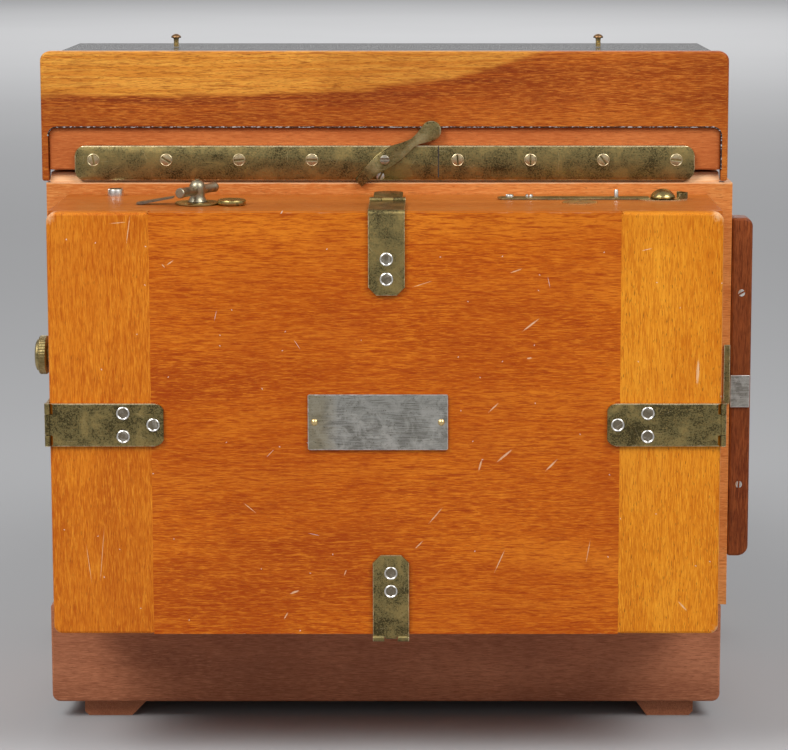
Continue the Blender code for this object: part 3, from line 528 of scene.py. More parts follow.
def soften(piece, width):
    """Rounds a piece's edges with a bevel of this width."""
    step = piece.modifiers.new("soft_edges", "BEVEL")
    step.width = width * MM
    step.segments = 3
    step.limit_method = "ANGLE"
    step.angle_limit = math.radians(35)
    step.use_clamp_overlap = True


def dress(node, material, soft=0.0):
    """Gives a node of the model its finish, and a softer edge where that is asked for."""
    piece = frame["nodes"][node]
    piece.data.materials.clear()
    piece.data.materials.append(material)
    if soft:
        soften(piece, soft)


# ---------------------------------------------------------------- woods

CHERRY = ((0.31, 0.042, 0.002), (0.49, 0.102, 0.004), (0.68, 0.205, 0.014))
CLAMP_LEFT = ((0.40, 0.078, 0.003), (0.58, 0.160, 0.008), (0.74, 0.270, 0.022))
CLAMP_RIGHT = ((0.46, 0.110, 0.004), (0.645, 0.210, 0.009), (0.80, 0.330, 0.024))
TOP_BOARD = ((0.20, 0.030, 0.004), (0.41, 0.098, 0.011), (0.62, 0.215, 0.032))
LEDGE = ((0.46, 0.130, 0.026), (0.64, 0.220, 0.052), (0.80, 0.360, 0.110))
STRIP = ((0.34, 0.080, 0.018), (0.50, 0.140, 0.036), (0.62, 0.210, 0.060))
WALNUT = ((0.24, 0.078, 0.036), (0.42, 0.152, 0.072), (0.58, 0.230, 0.115))
MAHOGANY = ((0.085, 0.018, 0.005), (0.205, 0.046, 0.012), (0.36, 0.105, 0.028))
CASE_TOP = ((0.30, 0.066, 0.008), (0.42, 0.115, 0.016), (0.56, 0.190, 0.034))
BODY_WOOD = ((0.25, 0.060, 0.010), (0.38, 0.100, 0.014), (0.52, 0.165, 0.026))

DOOR_MARKS = (
    (-113.0, 248.0, 7.5, 0.25, 82), (-117.5, 251.5, 4.0, 0.22, 5), (-94.5, 233.6, 2.2, 0.3, 35),
    (-97.5, 232.2, 1.3, 0.3, -50), (66.5, 205.5, 5.2, 0.45, 38), (66.0, 190.5, 1.4, 0.5, 10),
    (50.0, 168.0, 3.6, 0.40, 44), (24.0, 118.5, 5.6, 0.35, 50), (16.5, 105.0, 3.0, 0.35, 46),
    (53.0, 97.5, 6.2, 0.30, 66), (55.0, 146.0, 4.8, 0.6, 40), (76.0, 141.5, 4.2, 0.5, 45),
    (44.0, 141.5, 3.0, 0.5, 75), (-40.0, 83.0, 2.4, 0.6, 20), (-44.0, 72.0, 2.0, 0.4, 60),
    (136.0, 76.5, 3.4, 0.45, -48), (60.0, 230.0, 3.2, 0.35, 20), (-17.0, 92.0, 1.6, 0.35, 70),
    (-127.0, 100.0, 14.0, 0.18, 85), (-133.0, 96.0, 10.0, 0.16, 97), (93.0, 102.0, 6.0, 0.2, 80),
    (141.5, 184.0, 6.5, 0.8, 88), (18.0, 224.0, 5.0, 0.2, 18), (-60.0, 122.0, 4.0, 0.25, -40),
)


def top_board_sweep(look, colour):
    """The top board's golden sapwood along its top, running out to the right, over darker wood."""
    high = span("back_top_board")[1]
    past = look.maths("MAXIMUM", look.maths("ADD", look.part("X"), 50.0), 0.0)
    fall = look.maths("MULTIPLY", look.maths("MULTIPLY", past, past), 0.0013)
    wander = look.maths("MULTIPLY", look.noise((60, 30, 9), 4, 0.6, 0.4, 4.0), 9.0)
    border = look.maths("SUBTRACT", look.maths("ADD", wander, 16.0), fall)
    below = look.maths("SUBTRACT", look.maths("SUBTRACT", high.z, look.part("Z")), border)
    streak = look.noise((60, 30, 1.6), 4, 0.65, 0.5, 8.0)
    shade = look.maths("MULTIPLY", look.step(below, 0, 17, 1, 0), look.step(streak, 0.38, 0.60))
    colour = look.mix(look.maths("MULTIPLY", shade, 0.9), colour, (0.17, 0.027, 0.006))
    gold = look.mix(look.step(streak, 0.40, 0.64), (0.74, 0.355, 0.055), (0.60, 0.235, 0.028))
    dents = look.step(look.noise((1.6, 1.6, 0.9), 3, 0.7, 0.2, 6.0), 0.62, 0.70)
    near_top = look.step(look.part("Z"), high.z - 8, high.z - 1)
    gold = look.mix(look.maths("MULTIPLY", dents, look.maths("MULTIPLY", near_top, 0.8)), gold, GRIME)
    return look.mix(look.step(below, -2.0, 1.2, 0.95, 0), colour, gold)


def ledge_bare_and_lit(look):
    """The holder's ledge painted pale on its sloping top: bare of varnish there, and a painted highlight
    along it.
    """
    height = look.maths("ADD", look.part("Z"), look.noise((9, 3, 3), 4, 0.7))
    return look.step(height, 261.3, 261.8, 0, 0.9)


def dress_woods():
    """The door's three boards share their corner wear and scratches; each other board has its own look."""
    door = [span(name) for name in ("door_clamp_left", "door_clamp_right")]
    whole = (door[0][0], door[1][1])
    low, high = whole
    worn = ((low.x - 1, high.z + 1), (high.x + 1, high.z + 1), (high.x + 2, low.z - 2))
    panel = wood("door_cherry", "x", CHERRY, whole, figure=0.9, pores=0.35, wear=0.8, marks=DOOR_MARKS,
                 ticks=0.30, seed=2.0)
    left = wood("clamp_cherry_left", "z", CLAMP_LEFT, whole, figure=0.8, pores=0.5, corners=worn,
                marks=DOOR_MARKS, ticks=0.34, seed=9.0)
    right = wood("clamp_cherry_right", "z", CLAMP_RIGHT, whole, figure=0.6, pores=0.9, corners=worn,
                 marks=DOOR_MARKS, ticks=0.34, seed=15.0)
    dress("door_panel", panel)
    dress("door_clamp_left", left)
    dress("door_clamp_right", right)
    boards = (
        ("back_top_board", "x", TOP_BOARD, 1.0, 0.0),
        ("back_bottom_board", "x", WALNUT, 0.5, 0.0),
        ("inset_strip", "x", STRIP, 0.5, 0.0),
        ("holder_frame", "x", LEDGE, 0.7, 0.4),
        ("case_top", "x", CASE_TOP, 0.8, 0.4),
        ("case_bottom", "x", CHERRY, 0.6, 0.4),
        ("case_left", "y", CLAMP_LEFT, 0.6, 0.4),
        ("case_right", "y", CLAMP_RIGHT, 0.6, 0.4),
        ("box_left_wall", "y", BODY_WOOD, 0.5, 0.5),
        ("box_right_wall", "y", BODY_WOOD, 0.5, 0.5),
        ("base_board", "x", WALNUT, 0.6, 0.6),
        ("plate_frame", "x", BODY_WOOD, 0.2, 0.3),
        ("bed_rail_left", "y", BODY_WOOD, 0.5, 0.0),
        ("bed_rail_right", "y", BODY_WOOD, 0.5, 0.0),
        ("foot_cleat_left", "y", WALNUT, 0.7, 0.6),
        ("foot_cleat_right", "y", WALNUT, 0.7, 0.6),
        ("front_frame", "z", BODY_WOOD, 0.6, 0.5),
        ("carriage", "x", BODY_WOOD, 0.6, 0.4),
        ("lens_board", "z", MAHOGANY, 0.6, 0.0),
        ("dark_slide_handle", "z", MAHOGANY, 0.6, 0.3),
        ("gate_frame", "x", MAHOGANY, 0.4, 0.3),
        ("register_roller", "z", BODY_WOOD, 0.2, 0.3),
        ("guide_roller", "z", BODY_WOOD, 0.2, 0.3),
    )
    sweeps = {"back_top_board": top_board_sweep}
    # The ledge's pale top: bare wood and a painted highlight.
    bare = {"holder_frame": ledge_bare_and_lit}
    for n, (node, grain, tones, wear, soft) in enumerate(boards):
        made = wood(f"{node}_wood", grain, tones, span(node), wear=wear, seed=21.0 + 3.7 * n,
                    sweep=sweeps.get(node), bare_and_lit=bare.get(node))
        dress(node, made, soft)


def door_joints():
    """Each clamp's edge where it meets the door's panel, filled flush in the clamp's wood."""
    low, high = span("door_panel")
    inset, deep, overlap = 0.02, 2.0, 1.5
    for side, ends in (("left", (low.x - overlap, low.x)), ("right", (high.x, high.x + overlap))):
        first = (ends[0], low.y + inset, low.z + 0.7)
        edge = Shape().box(first, (ends[1], low.y + deep, high.z - 0.7))
        wood_used = frame["nodes"][f"door_clamp_{side}"].data.materials[0]
        edge.make(f"door_joint_{side}", wood_used, "back_door", "amber")


def strip_groove():
    """The groove round the inset strip, painted near black as its shade with pale specks of dust, and the
    board's rounded corners there.
    """
    low, high = span("inset_strip")
    face = span("back_top_board")[0].y
    look = Look("groove_shade_and_dust", specular=0.2)
    dust = look.noise((2.2, 1, 1), 3, 0.7, 0.3)
    # Painted shade: near black where the groove's shade falls, with pale specks of dust.
    tone = look.mix(look.step(dust, 0.50, 0.62), (0.030, 0.016, 0.012), (0.42, 0.42, 0.42))
    look.finish(tone, 0.7, ((dust, 0.03),))
    radius, wide, tuck = 4.0, 0.55, 0.4
    radii = (0, 0, radius + wide, radius + wide)
    outer = rounded((low.x - wide, low.z), (high.x + wide, high.z + wide), radii, 8)
    inner = rounded((low.x, low.z), (high.x, high.z), (0, 0, radius, radius), 8)
    # A thin dark band laid in the groove's corner, standing in for its shade.
    groove = Shape().slab(outer[1:] + inner[1:][::-1], -0.3, 0.08, "-y", (0, face, 0))
    groove.make("strip_groove", look.material, "camera", "cherry")
    board_wood = frame["nodes"]["back_top_board"].data.materials[0]
    turn = arc((high.x - radius, high.z - radius), radius + wide - 0.1, 0, 90, 8)
    for side, sign in (("left", -1), ("right", 1)):
        outline = [(high.x + tuck, high.z + tuck)] + turn
        corner = Shape().slab([(sign * x, z) for x, z in outline], -1.2, -0.02, "-y", (0, face, 0))
        corner.make(f"strip_corner_{side}", board_wood, "camera", "amber")


def dress_rest():
    dress("box_top", lacquer("box_top_lacquer", (0.030, 0.026, 0.024), span("box_top")), 0.3)
    dress("dark_slide_board", card("slide_board", (0.02, 0.018, 0.017), 0.5))
    dress("film_web", card("film_paper", (0.62, 0.56, 0.42)))
    for spool in ("take_up_spool", "supply_spool"):
        dress(spool, card(f"{spool}_paper", (0.05, 0.045, 0.045), 0.5), 0.2)
    clear = glass("lens_glass")
    dress("front_glass", clear)
    dress("rear_glass", clear)


# ---------------------------------------------------------------- brass fittings on the back

SILVER = (0.80, 0.77, 0.72)
SILVER_GRIME = (0.09, 0.07, 0.05)
GOLD = (0.80, 0.60, 0.28)
GOLD_GRIME = (0.16, 0.11, 0.04)
HASP_THICK = 1.2
BARREL_GAP = 0.15


def door_face():
    """Where fittings on the door start: a small gap off its boards."""
    return span("door_panel")[0].y - 0.3


def front_box(low, high, face, thick):
    """The corners of a plate that stands out from a face, for the wear on its edges."""
    return Vector((low.x, face - thick, low.z)), Vector((high.x, face, high.z))


def hasp_screws(name, places, face, seed):
    """A hasp's screws: darker domed heads with paler patches, sunk in bright rims."""
    rims, heads = Shape(), Shape()
    rim = [(2.95, -0.2), (2.95, 0.35), (2.6, 0.55), (2.2, 0.2), (2.2, -0.2)]
    for n, (x, z) in enumerate(places):
        place = (x, face, z)
        rims.turned(rim, "-y", place, 32)
        heads.screw(place, "-y", 2.15, 0.34, 0.7 + 1.9 * n + seed, 0.2)
    rim_metal = bright_metal(f"{name}_rim_metal", SILVER, SILVER_GRIME, 0.2, seed, 0.25)
    head_metal = bright_metal(f"{name}_head_metal", (0.24, 0.20, 0.14), SILVER, 0.3, seed + 1.5, 0.35)
    rims.make(name + "_screw_rims", rim_metal, "back_door", "nickel")
    heads.make(name + "_screw_heads", head_metal, "back_door", "nickel")


def side_hasp(side):
    """A hasp on the door's side edge: chamfered plate, notched at its knuckle, with three sunk screws."""
    name = f"hasp_{side}"
    low, high = span(name)
    sign = -1 if side == "left" else 1
    edge, end = (low.x, high.x) if side == "left" else (high.x, low.x)
    wide = (high.z - low.z) / 2
    centre = (low.z + high.z) / 2
    face = door_face()
    tip = abs(end - edge) - 4.4
    knuckle, shoulder, notch, notch_deep = 2.6, 4.0, 5.2, 0.9
    outline = [(knuckle, -wide), (tip, -wide)]
    outline += arc((tip, -wide + 4.6), 4.4, -68, -22, 3)
    outline += arc((tip, wide - 4.6), 4.4, 22, 68, 3)
    outline += [(tip, wide), (knuckle, wide), (shoulder, wide - 0.6), (shoulder, wide - notch)]
    outline += [(notch_deep, wide - notch), (notch_deep, notch - wide)]
    outline += [(shoulder, notch - wide), (shoulder, 0.6 - wide)]
    shape = Shape()
    shape.slab([(edge - sign * a, centre + b) for a, b in outline], 0, 1.15, "-y", (0, face, 0), bevel=0.28)
    half_barrel = wide - notch - BARREL_GAP
    shape.rod(1.32, -half_barrel, half_barrel, "+z", (edge - sign * 1.3, low.y + 1.35, centre))
    # The top edge carries a painted highlight.
    brass = aged_brass(f"{name}_brass", front_box(low, high, face, HASP_THICK), dark=0.55, seed=4.0 + sign,
                       top_highlight=1.0)
    shape.make(name + "_plate", brass, "back_door", "brass", (name,))
    places = [(end + sign * back, centre + up) for back, up in ((5.0, 0), (18.5, 5.3), (18.5, -5.3))]
    hasp_screws(name, places, face - 1.1, 2.0 + sign)


def end_hasp(name, z0, z1, chamfer_top, screw_z, seed):
    """The plate of an upright hasp from z0 to z1, with one chamfered end and two sunk screws."""
    low, high = span(name)
    wide = (high.x - low.x) / 2
    centre = (low.x + high.x) / 2
    face = door_face()
    cut = 3.6
    chamfered, square, toward = (z1, z0, 1) if chamfer_top else (z0, z1, -1)
    outline = [(-wide, square), (wide, square), (wide, chamfered - toward * cut), (wide - cut, chamfered)]
    outline += [(cut - wide, chamfered), (-wide, chamfered - toward * cut)]
    shape = Shape()
    shape.slab([(centre + a, b) for a, b in outline], 0, HASP_THICK, "-y", (0, face, 0), bevel=0.28)
    hasp_screws(name, [(centre, z) for z in screw_z], face - 1.15, seed)
    return shape


def top_hasp():
    """The top hasp, bent over the case's edge, and the hinged tongue that lies on the case."""
    low, high = span("hasp_top")
    centre = (low.x + high.x) / 2
    wide = (high.x - low.x) / 2
    face = door_face()
    top = span("case_top")[1].z + 0.3
    bend = 2.4
    screw_z = (low.z + 16.3, low.z + 7.3)
    shape = end_hasp("hasp_top", low.z, top + HASP_THICK - bend, False, screw_z, 1.0)
    hinge_y, hinge_z, barrel = high.y - 1.4, top + 1.5, 1.45
    behind = hinge_y - 1.6
    profile = [(face, top - bend), (face, top - 0.4), (face + 0.4, top), (behind, top)]
    profile += [(behind, top + HASP_THICK)]
    profile += arc((face + bend - HASP_THICK, top + HASP_THICK - bend), bend, 90, 180, 8)
    shape.slab(profile, centre - wide, centre + wide, "+x")
    third = wide * 2 / 3
    half_barrel = third / 2 - BARREL_GAP
    shape.rod(barrel, -half_barrel, half_barrel, "+x", (centre, hinge_y, hinge_z))
    worn = (Vector((low.x, face - HASP_THICK, low.z)), Vector((high.x, hinge_y, top + HASP_THICK)))
    brass = aged_brass("hasp_top_brass", worn, dark=0.45, seed=31.0)
    shape.make("hasp_top_plate", brass, "back_door", "brass", ("hasp_top",))
    tongue_low, tongue_high = span("flap_top")
    radius = 6.8
    lift = top + 0.6
    outline = [(centre - radius, hinge_y + 1.7), (centre + radius, hinge_y + 1.7)]
    outline += arc((centre, tongue_high.y - radius), radius, 0, 180, 18)
    tongue = Shape().slab(outline, lift, lift + HASP_THICK, "+z", bevel=0.28)
    for side in (-1, 1):
        start = centre + side * (third / 2 + BARREL_GAP)
        ends = sorted((start, centre + side * wide))
        tongue.rod(barrel, ends[0], ends[1], "+x", (0, hinge_y, hinge_z))
        reach = sorted((start, centre + side * radius))
        tongue.box((reach[0], hinge_y, lift), (reach[1], hinge_y + 3, lift + HASP_THICK))
    tongue_brass = aged_brass("tongue_brass", (tongue_low, tongue_high), dark=0.4, seed=37.0)
    tongue.make("flap_top_tongue", tongue_brass, "top_flap", "brass", ("flap_top",))


def bottom_hasp():
    """The bottom hasp, with a lip that turns under the door to its flap."""
    low, high = span("hasp_bottom")
    centre = (low.x + high.x) / 2
    face = door_face()
    start = low.z + 2.4
    shape = end_hasp("hasp_bottom", start, high.z, True, (high.z - 8.3, high.z - 16.7), 5.0)
    third = (high.x - low.x) / 3
    lip = arc((face - 0.2, low.z + 2.5), 1.4, 180, 300, 6)
    profile = lip + [(face + 0.4, start), (face, start + 1.0), (face - HASP_THICK, start + 2.6)]
    shape.slab(profile, centre - third / 2 + 0.2, centre + third / 2 - 0.2, "+x")
    brass = aged_brass("hasp_bottom_brass", front_box(low, high, face, HASP_THICK), dark=0.6, seed=43.0)
    shape.make("hasp_bottom_plate", brass, "back_door", "brass", ("hasp_bottom",))
    dress("flap_bottom", aged_brass("flap_bottom_brass", span("flap_bottom"), dark=0.3, seed=47.0), 0.2)


def side_flaps():
    for n, name in enumerate(("flap_left", "flap_right")):
        dress(name, aged_brass(f"{name}_brass", span(name), dark=0.45, seed=51.0 + 3 * n), 0.2)


def nameplate():
    """A plain nickel-silver plate on two brass pins; it carries no lettering."""
    low, high = span("nameplate")
    face, thick = door_face(), 0.9
    outline = rounded((low.x, low.z), (high.x, high.z), (0.8, 0.8, 0.8, 0.8), 4)
    plate = Shape().slab(outline, 0, thick, "-y", (0, face, 0), bevel=0.22)
    metal = plate_metal("nameplate_metal", front_box(low, high, face, thick))
    plate.make("nameplate_plate", metal, "back_door", "nickel", ("nameplate",))
    pins = Shape()
    for x in (low.x + 3, high.x - 3):
        dome = [(0, -0.4), (1.5, -0.4), (1.5, 0.1)] + arc((0, -0.9), 1.8, 30, 80, 5) + [(0, 0.92)]
        pins.turned(dome, "-y", (x, face - thick, (low.z + high.z) / 2), 24)
    pin_metal = bright_metal("pin_brass", GOLD, GOLD_GRIME, 0.25, 7.0)
    pins.make("nameplate_pins", pin_metal, "back_door", "brass")


def brass_strip():
    """The long brass strip over the holder: eight slotted screws, a scribed line and a small screw."""
    low, high = span("brass_strip")
    thick, pitch = 1.5, 34.4
    face = span("back_top_board")[0].y + HASP_THICK
    outline = rounded((low.x, low.z), (high.x, high.z), (4.5, 5, 5, 5), 8)
    strip = Shape().slab(outline, 0, thick, "-y", (0, face, 0), bevel=0.3)
    # The top edge carries a painted highlight.
    brass = aged_brass("strip_brass", front_box(low, high, face, thick), dark=0.42, seed=61.0, top_highlight=0.8)
    strip.make("brass_strip_plate", brass, "camera", "brass", ("brass_strip",))
    screws = Shape()
    screw_z = (low.z + high.z) / 2 + 1.4
    rim = [(2.95, -0.2), (2.95, 0.12), (2.7, 0.26), (2.5, 0.12), (2.5, -0.2)]
    for n in (-4, -3, -2, -1, 1, 2, 3, 4):
        place = (n * pitch, face - thick + 0.05, screw_z)
        screws.turned(rim, "-y", place, 32)
        screws.screw(place, "-y", 2.45, 0.28, -0.75 + 0.9 * math.sin(5.3 * n), 0.15)
    screw_metal = bright_metal("strip_screw_metal", (0.56, 0.47, 0.29), GOLD_GRIME, 0.30, 11.0)
    screws.make("strip_screws", screw_metal, "camera", "brass")
    small = Shape().screw((-2.1, face - thick + 0.08, 264.6), "-y", 1.9, 0.25, 1.1, 0.2)
    small_metal = bright_metal("small_screw_metal", SILVER, SILVER_GRIME, 0.2, 13.0)
    small.make("strip_small_screw", small_metal, "camera", "nickel")
    line_x, wide = 25.1, 0.5
    line = Shape().box((line_x, face - thick - 0.03, low.z + 1.4),
                       (line_x + wide, face - thick + 0.1, high.z - 0.2))
    line.make("strip_scribed_line", card("scribed_dark", (0.035, 0.03, 0.03)), "camera", "brass")


def latch():
    """The holder's latch: a square tip, a broad middle and a round paddle, turning on its screw."""
    low, high = span("latch_lever")
    pivot_z = frame_axis("latch_turn")[2]
    tip = [(-13.8, -9.6), (-11.0, -12.9), (-7.9, -10.3), (-3.3, -6.3), (1.9, -4.0), (7.8, -0.4)]
    neck_low = [(9.6, 2.2), (13.7, 5.9), (16.0, 7.6)]
    paddle = arc((22.0, 13.6), 4.7, -95, 150, 16)
    neck_high = [(15.2, 12.4), (12.6, 9.6), (7.8, 7.9), (3.3, 6.6), (0, 5.1), (-4, 2.2), (-9.2, -3.7)]
    outline = tip + neck_low + paddle + neck_high
    lever = Shape().slab(outline, 0, high.y - low.y, "-y", (0, high.y, pivot_z), bevel=0.3)
    brass = aged_brass("latch_brass", (low, high), dark=0.30, edges=0.5, seed=67.0, gold=(0.60, 0.48, 0.26))
    lever.make("latch_lever_plate", brass, "latch", "brass", ("latch_lever",))
    pivot = Shape().screw((0, low.y, pivot_z), "-y", 2.3, 0.8, 0.0, 0.18)
    pivot_metal = bright_metal("pivot_metal", (0.50, 0.45, 0.36), SILVER_GRIME, 0.28, 17.0)
    pivot.make("latch_pivot_head", pivot_metal, "camera", "brass")


# ---------------------------------------------------------------- winding gear and register on the case's top


def winding_gear():
    """The T winding key on its base disc, the pawl's spring, a low button and a cheese-head screw."""
    top = span("case_top")[1].z
    low, high = span("winding_key")
    centre = ((low.x + high.x) / 2, (low.y + high.y) / 2)
    base = low.z
    nickel = bright_metal("key_nickel", (0.40, 0.355, 0.25), (0.10, 0.08, 0.05), 0.30, 19.0, 0.7)
    hub_profile = [(0, base), (4.4, base), (3.9, base + 0.9), (3.3, base + 2.4), (3.6, base + 4.0)]
    hub_profile += [(3.7, base + 6.4)] + arc((0, base + 6.3), 3.7, 15, 75, 5)
    hub_profile += [(1.2, base + 10.2), (0, base + 10.2)]
    hub = Shape().turned(hub_profile, "+z", (*centre, 0), 36)
    bar, half, bar_z, bar_turn = Shape(), 16.5, top + 6.5, math.radians(-24.5)
    end = [(0, half), (2.0, half), (2.35, half - 0.4), (2.35, half - 1.8), (2.15, half - 2.1)]
    bar.turned([(radius, -along_bar) for radius, along_bar in end] + end[::-1], "+y", (0, 0, 0), 28)
    turn = Matrix.Translation(Vector((*centre, bar_z))) @ Matrix.Rotation(bar_turn, 4, "Z")
    bmesh.ops.transform(bar.bm, matrix=turn, verts=bar.bm.verts)
    bar.make("winding_key_bar", nickel, "winder", "nickel")
    hub.make("winding_key_hub", nickel, "winder", "nickel", ("winding_key",))
    plate_low, plate_high = span("key_base_plate")
    radius, floor, bore = (plate_high.x - plate_low.x) / 2, plate_low.z, 4.8
    rim = [(bore, floor), (radius, floor), (radius, floor + 0.5), (radius - 0.4, floor + 0.85)]
    rim += [(5.6, floor + 1.0), (bore, floor + 0.8)]
    disc = Shape().turned(rim, "+z", (*centre, 0), 48)
    disc_metal = bright_metal("base_brass", (0.52, 0.40, 0.15), (0.12, 0.09, 0.03), 0.22, 23.0, 0.6)
    disc.make("key_base_disc", disc_metal, "camera", "brass", ("key_base_plate",))
    cup = [(0, top), (5.6, top), (6.4, top + 0.5), (6.6, top + 1.6), (6.2, top + 2.5), (5.4, top + 2.8)]
    cup += [(2.4, top + 2.6), (0, top + 2.6)]
    button = Shape().turned(cup, "+z", (-69, -173, 0), 40)
    button_metal = bright_metal("button_brass", (0.46, 0.35, 0.13), (0.10, 0.08, 0.03), 0.2, 27.0, 0.7)
    button.make("stop_button", button_metal, "camera", "brass")
    screw = Shape().screw((-126.4, -132, top + 0.3), "+z", 3.75, 3.2, 0.3, 0.16)
    screw_metal = bright_metal("case_screw_metal", SILVER, SILVER_GRIME, 0.22, 29.0)
    screw.make("case_screw", screw_metal, "camera", "nickel")
    pawl = bright_metal("pawl_steel", (0.26, 0.23, 0.18), (0.05, 0.045, 0.035), 0.36, 33.0, 0.7)
    dress("pawl_spring", pawl, 0.1)


def register():
    """The film register: a long spring plate, a flush bearing disc and the dial on its oval seat."""
    top = span("case_top")[1].z
    low, high = span("register_plate")
    y = (low.y + high.y) / 2
    outline = [(low.x + 1.5, low.y), (high.x, low.y), (high.x, high.y), (low.x + 1.5, high.y)]
    outline += arc((low.x + 3.5, y), 4.0, 110, 250, 8)
    plate = Shape().slab(outline, low.z, low.z + 0.8, "+z", bevel=0.2)
    brass = aged_brass("register_brass", (low, high), dark=0.2, seed=71.0, gold=(0.74, 0.56, 0.26))
    plate.make("register_plate_strip", brass, "camera", "brass", ("register_plate",))
    studs, seated = Shape(), low.z + 0.7
    for n, x in enumerate((low.x + 5.3, low.x + 14.3)):
        studs.screw((x, y, seated), "+z", 1.9, 1.3, 0.4 + n, 0.2)
    studs.turned([(0, 0), (1.0, 0), (1.0, 3.0), (0.7, 3.5), (0, 3.6)], "+z", (108, y, seated), 16)
    stud_metal = bright_metal("stud_metal", SILVER, SILVER_GRIME, 0.25, 35.0)
    studs.make("register_studs", stud_metal, "camera", "nickel")
    bearing = [(0, -0.2), (8.15, -0.2), (8.15, 0.25), (7.8, 0.45), (2.2, 0.45), (1.9, 0.2), (0, 0.2)]
    disc = Shape().turned(bearing, "+z", (90.3, -162.3, top), 48)
    disc.make("bearing_disc", bright_metal("disc_brass", GOLD, GOLD_GRIME, 0.25, 39.0), "camera", "brass")
    dial_low, dial_high = span("register_dial")
    centre = ((dial_low.x + dial_high.x) / 2, (dial_low.y + dial_high.y) / 2)
    base = dial_low.z
    dome = [(0, base), (4.8, base), (5.6, base + 0.4), (5.75, base + 1.0)]
    dome += arc((0, base - 1.8), 6.4, 28, 84, 9) + [(0, base + 4.6)]
    dial = Shape().turned(dome, "+z", (*centre, 0), 40)
    dial_metal = bright_metal("dial_brass", (0.40, 0.30, 0.12), (0.09, 0.07, 0.03), 0.2, 41.0, 0.7)
    dial.make("register_dial_knob", dial_metal, "register", "brass", ("register_dial",))

    def oval(long, short, start, end, steps):
        return [(centre[0] + long * x, centre[1] + short * y) for x, y in arc((0, 0), 1, start, end, steps)]

    seat = Shape().slab(oval(11.6, 7.2, 0, 352, 44), top + 0.02, top + 0.42, "+z", bevel=0.15)
    lip = oval(11.6, 7.2, -50, 50, 12) + oval(10.7, 6.6, 50, -50, 12)
    seat.slab(lip, top + 0.3, top + 3.4, "+z", bevel=0.2)
    seat_brass = aged_brass("seat_brass", (dial_low, dial_high), dark=0.3, seed=77.0)
    seat.make("dial_seat", seat_brass, "camera", "brass")


# ---------------------------------------------------------------- small fittings round the camera


def lock_knob():
    """The knurled brass knob at the left: a plain foot, a toothed rim and a low cap."""
    low, high = span("lock_knob")
    centre = middle("lock_knob")
    place = (high.x, centre.y, centre.z)
    teeth = 96

    def knurl(n, radius):
        return 1.018 if n % 2 else 1.0

    shape = Shape().turned([(0, 0), (5, 0), (5, 1.5), (8.6, 2.0), (0, 2.0)], "-x", place, 48)
    rim = [(0, 2.0), (8.7, 2.0), (9.15, 2.5), (9.15, 5.4), (8.7, 5.9), (0, 5.9)]
    shape.turned(rim, "-x", place, teeth, knurl)
    shape.turned([(0, 5.7), (7.9, 5.7), (7.5, 6.9), (6.2, 7.6), (3, 8.0), (0, 8.1)], "-x", place, 48)
    brass = aged_brass("knob_brass", (low, high), dark=0.2, seed=81.0, gold=(0.72, 0.55, 0.26))
    shape.make("lock_knob_head", brass, "lock_knob", "brass", ("lock_knob",), angle=30)


def handle_fittings():
    """The plate and screws on the dark slide's handle, and the brass plate on the holder's edge."""
    low, high = span("handle_plate")
    plate = Shape().box(low, high)
    metal = plate_metal("handle_plate_metal", (low, high), 5.0)
    plate.make("handle_plate_cover", metal, "dark_slide", "nickel", ("handle_plate",), soft=0.2)
    face = span("dark_slide_handle")[0].y
    centre_x = middle("dark_slide_handle").x
    screws = Shape()
    for n, z in enumerate((208.6, 115.7)):
        screws.screw((centre_x, face + 0.15, z), "-y", 1.7, 0.35, 0.5 + n, 0.2)
    screw_metal = bright_metal("handle_screw_metal", SILVER, SILVER_GRIME, 0.2, 45.0)
    screws.make("handle_screws", screw_metal, "dark_slide", "nickel")
    dress("edge_plate", aged_brass("edge_plate_brass", span("edge_plate"), dark=0.3, seed=85.0), 0.15)


def sight_pins():
    """Two brass pins on the box: a stem with two grooves under a darker mushroom head."""
    brass = bright_metal("sight_brass", (0.70, 0.52, 0.22), GOLD_GRIME, 0.24, 49.0, 0.6)
    cap = bright_metal("sight_cap_brass", (0.30, 0.17, 0.08), (0.10, 0.05, 0.03), 0.34, 50.0, 0.6)
    stem, full, groove = [(0, 0), (1.25, 0)], 1.25, 1.0
    for low_edge in (1.1, 2.5):
        stem += [(full, low_edge), (groove, low_edge + 0.15), (full, low_edge + 0.3)]
    stem += [(full, 3.8), (1.6, 4.4), (0, 4.4)]
    dome = [(0, 4.4), (2.3, 4.4), (2.5, 4.8)] + arc((0, 3.6), 2.8, 30, 80, 6) + [(0, 6.42)]
    for side in ("left", "right"):
        node = f"sight_pin_{side}"
        centre = middle(node)
        place = (centre.x, centre.y, span(node)[0].z)
        pin = Shape().turned(stem, "+z", place, 32)
        pin.make(f"{node}_stem", brass, "camera", "brass", (node,))
        head = Shape().turned(dome, "+z", place, 32)
        head.make(f"{node}_head", cap, "camera", "brass")


# ---------------------------------------------------------------- bellows and front


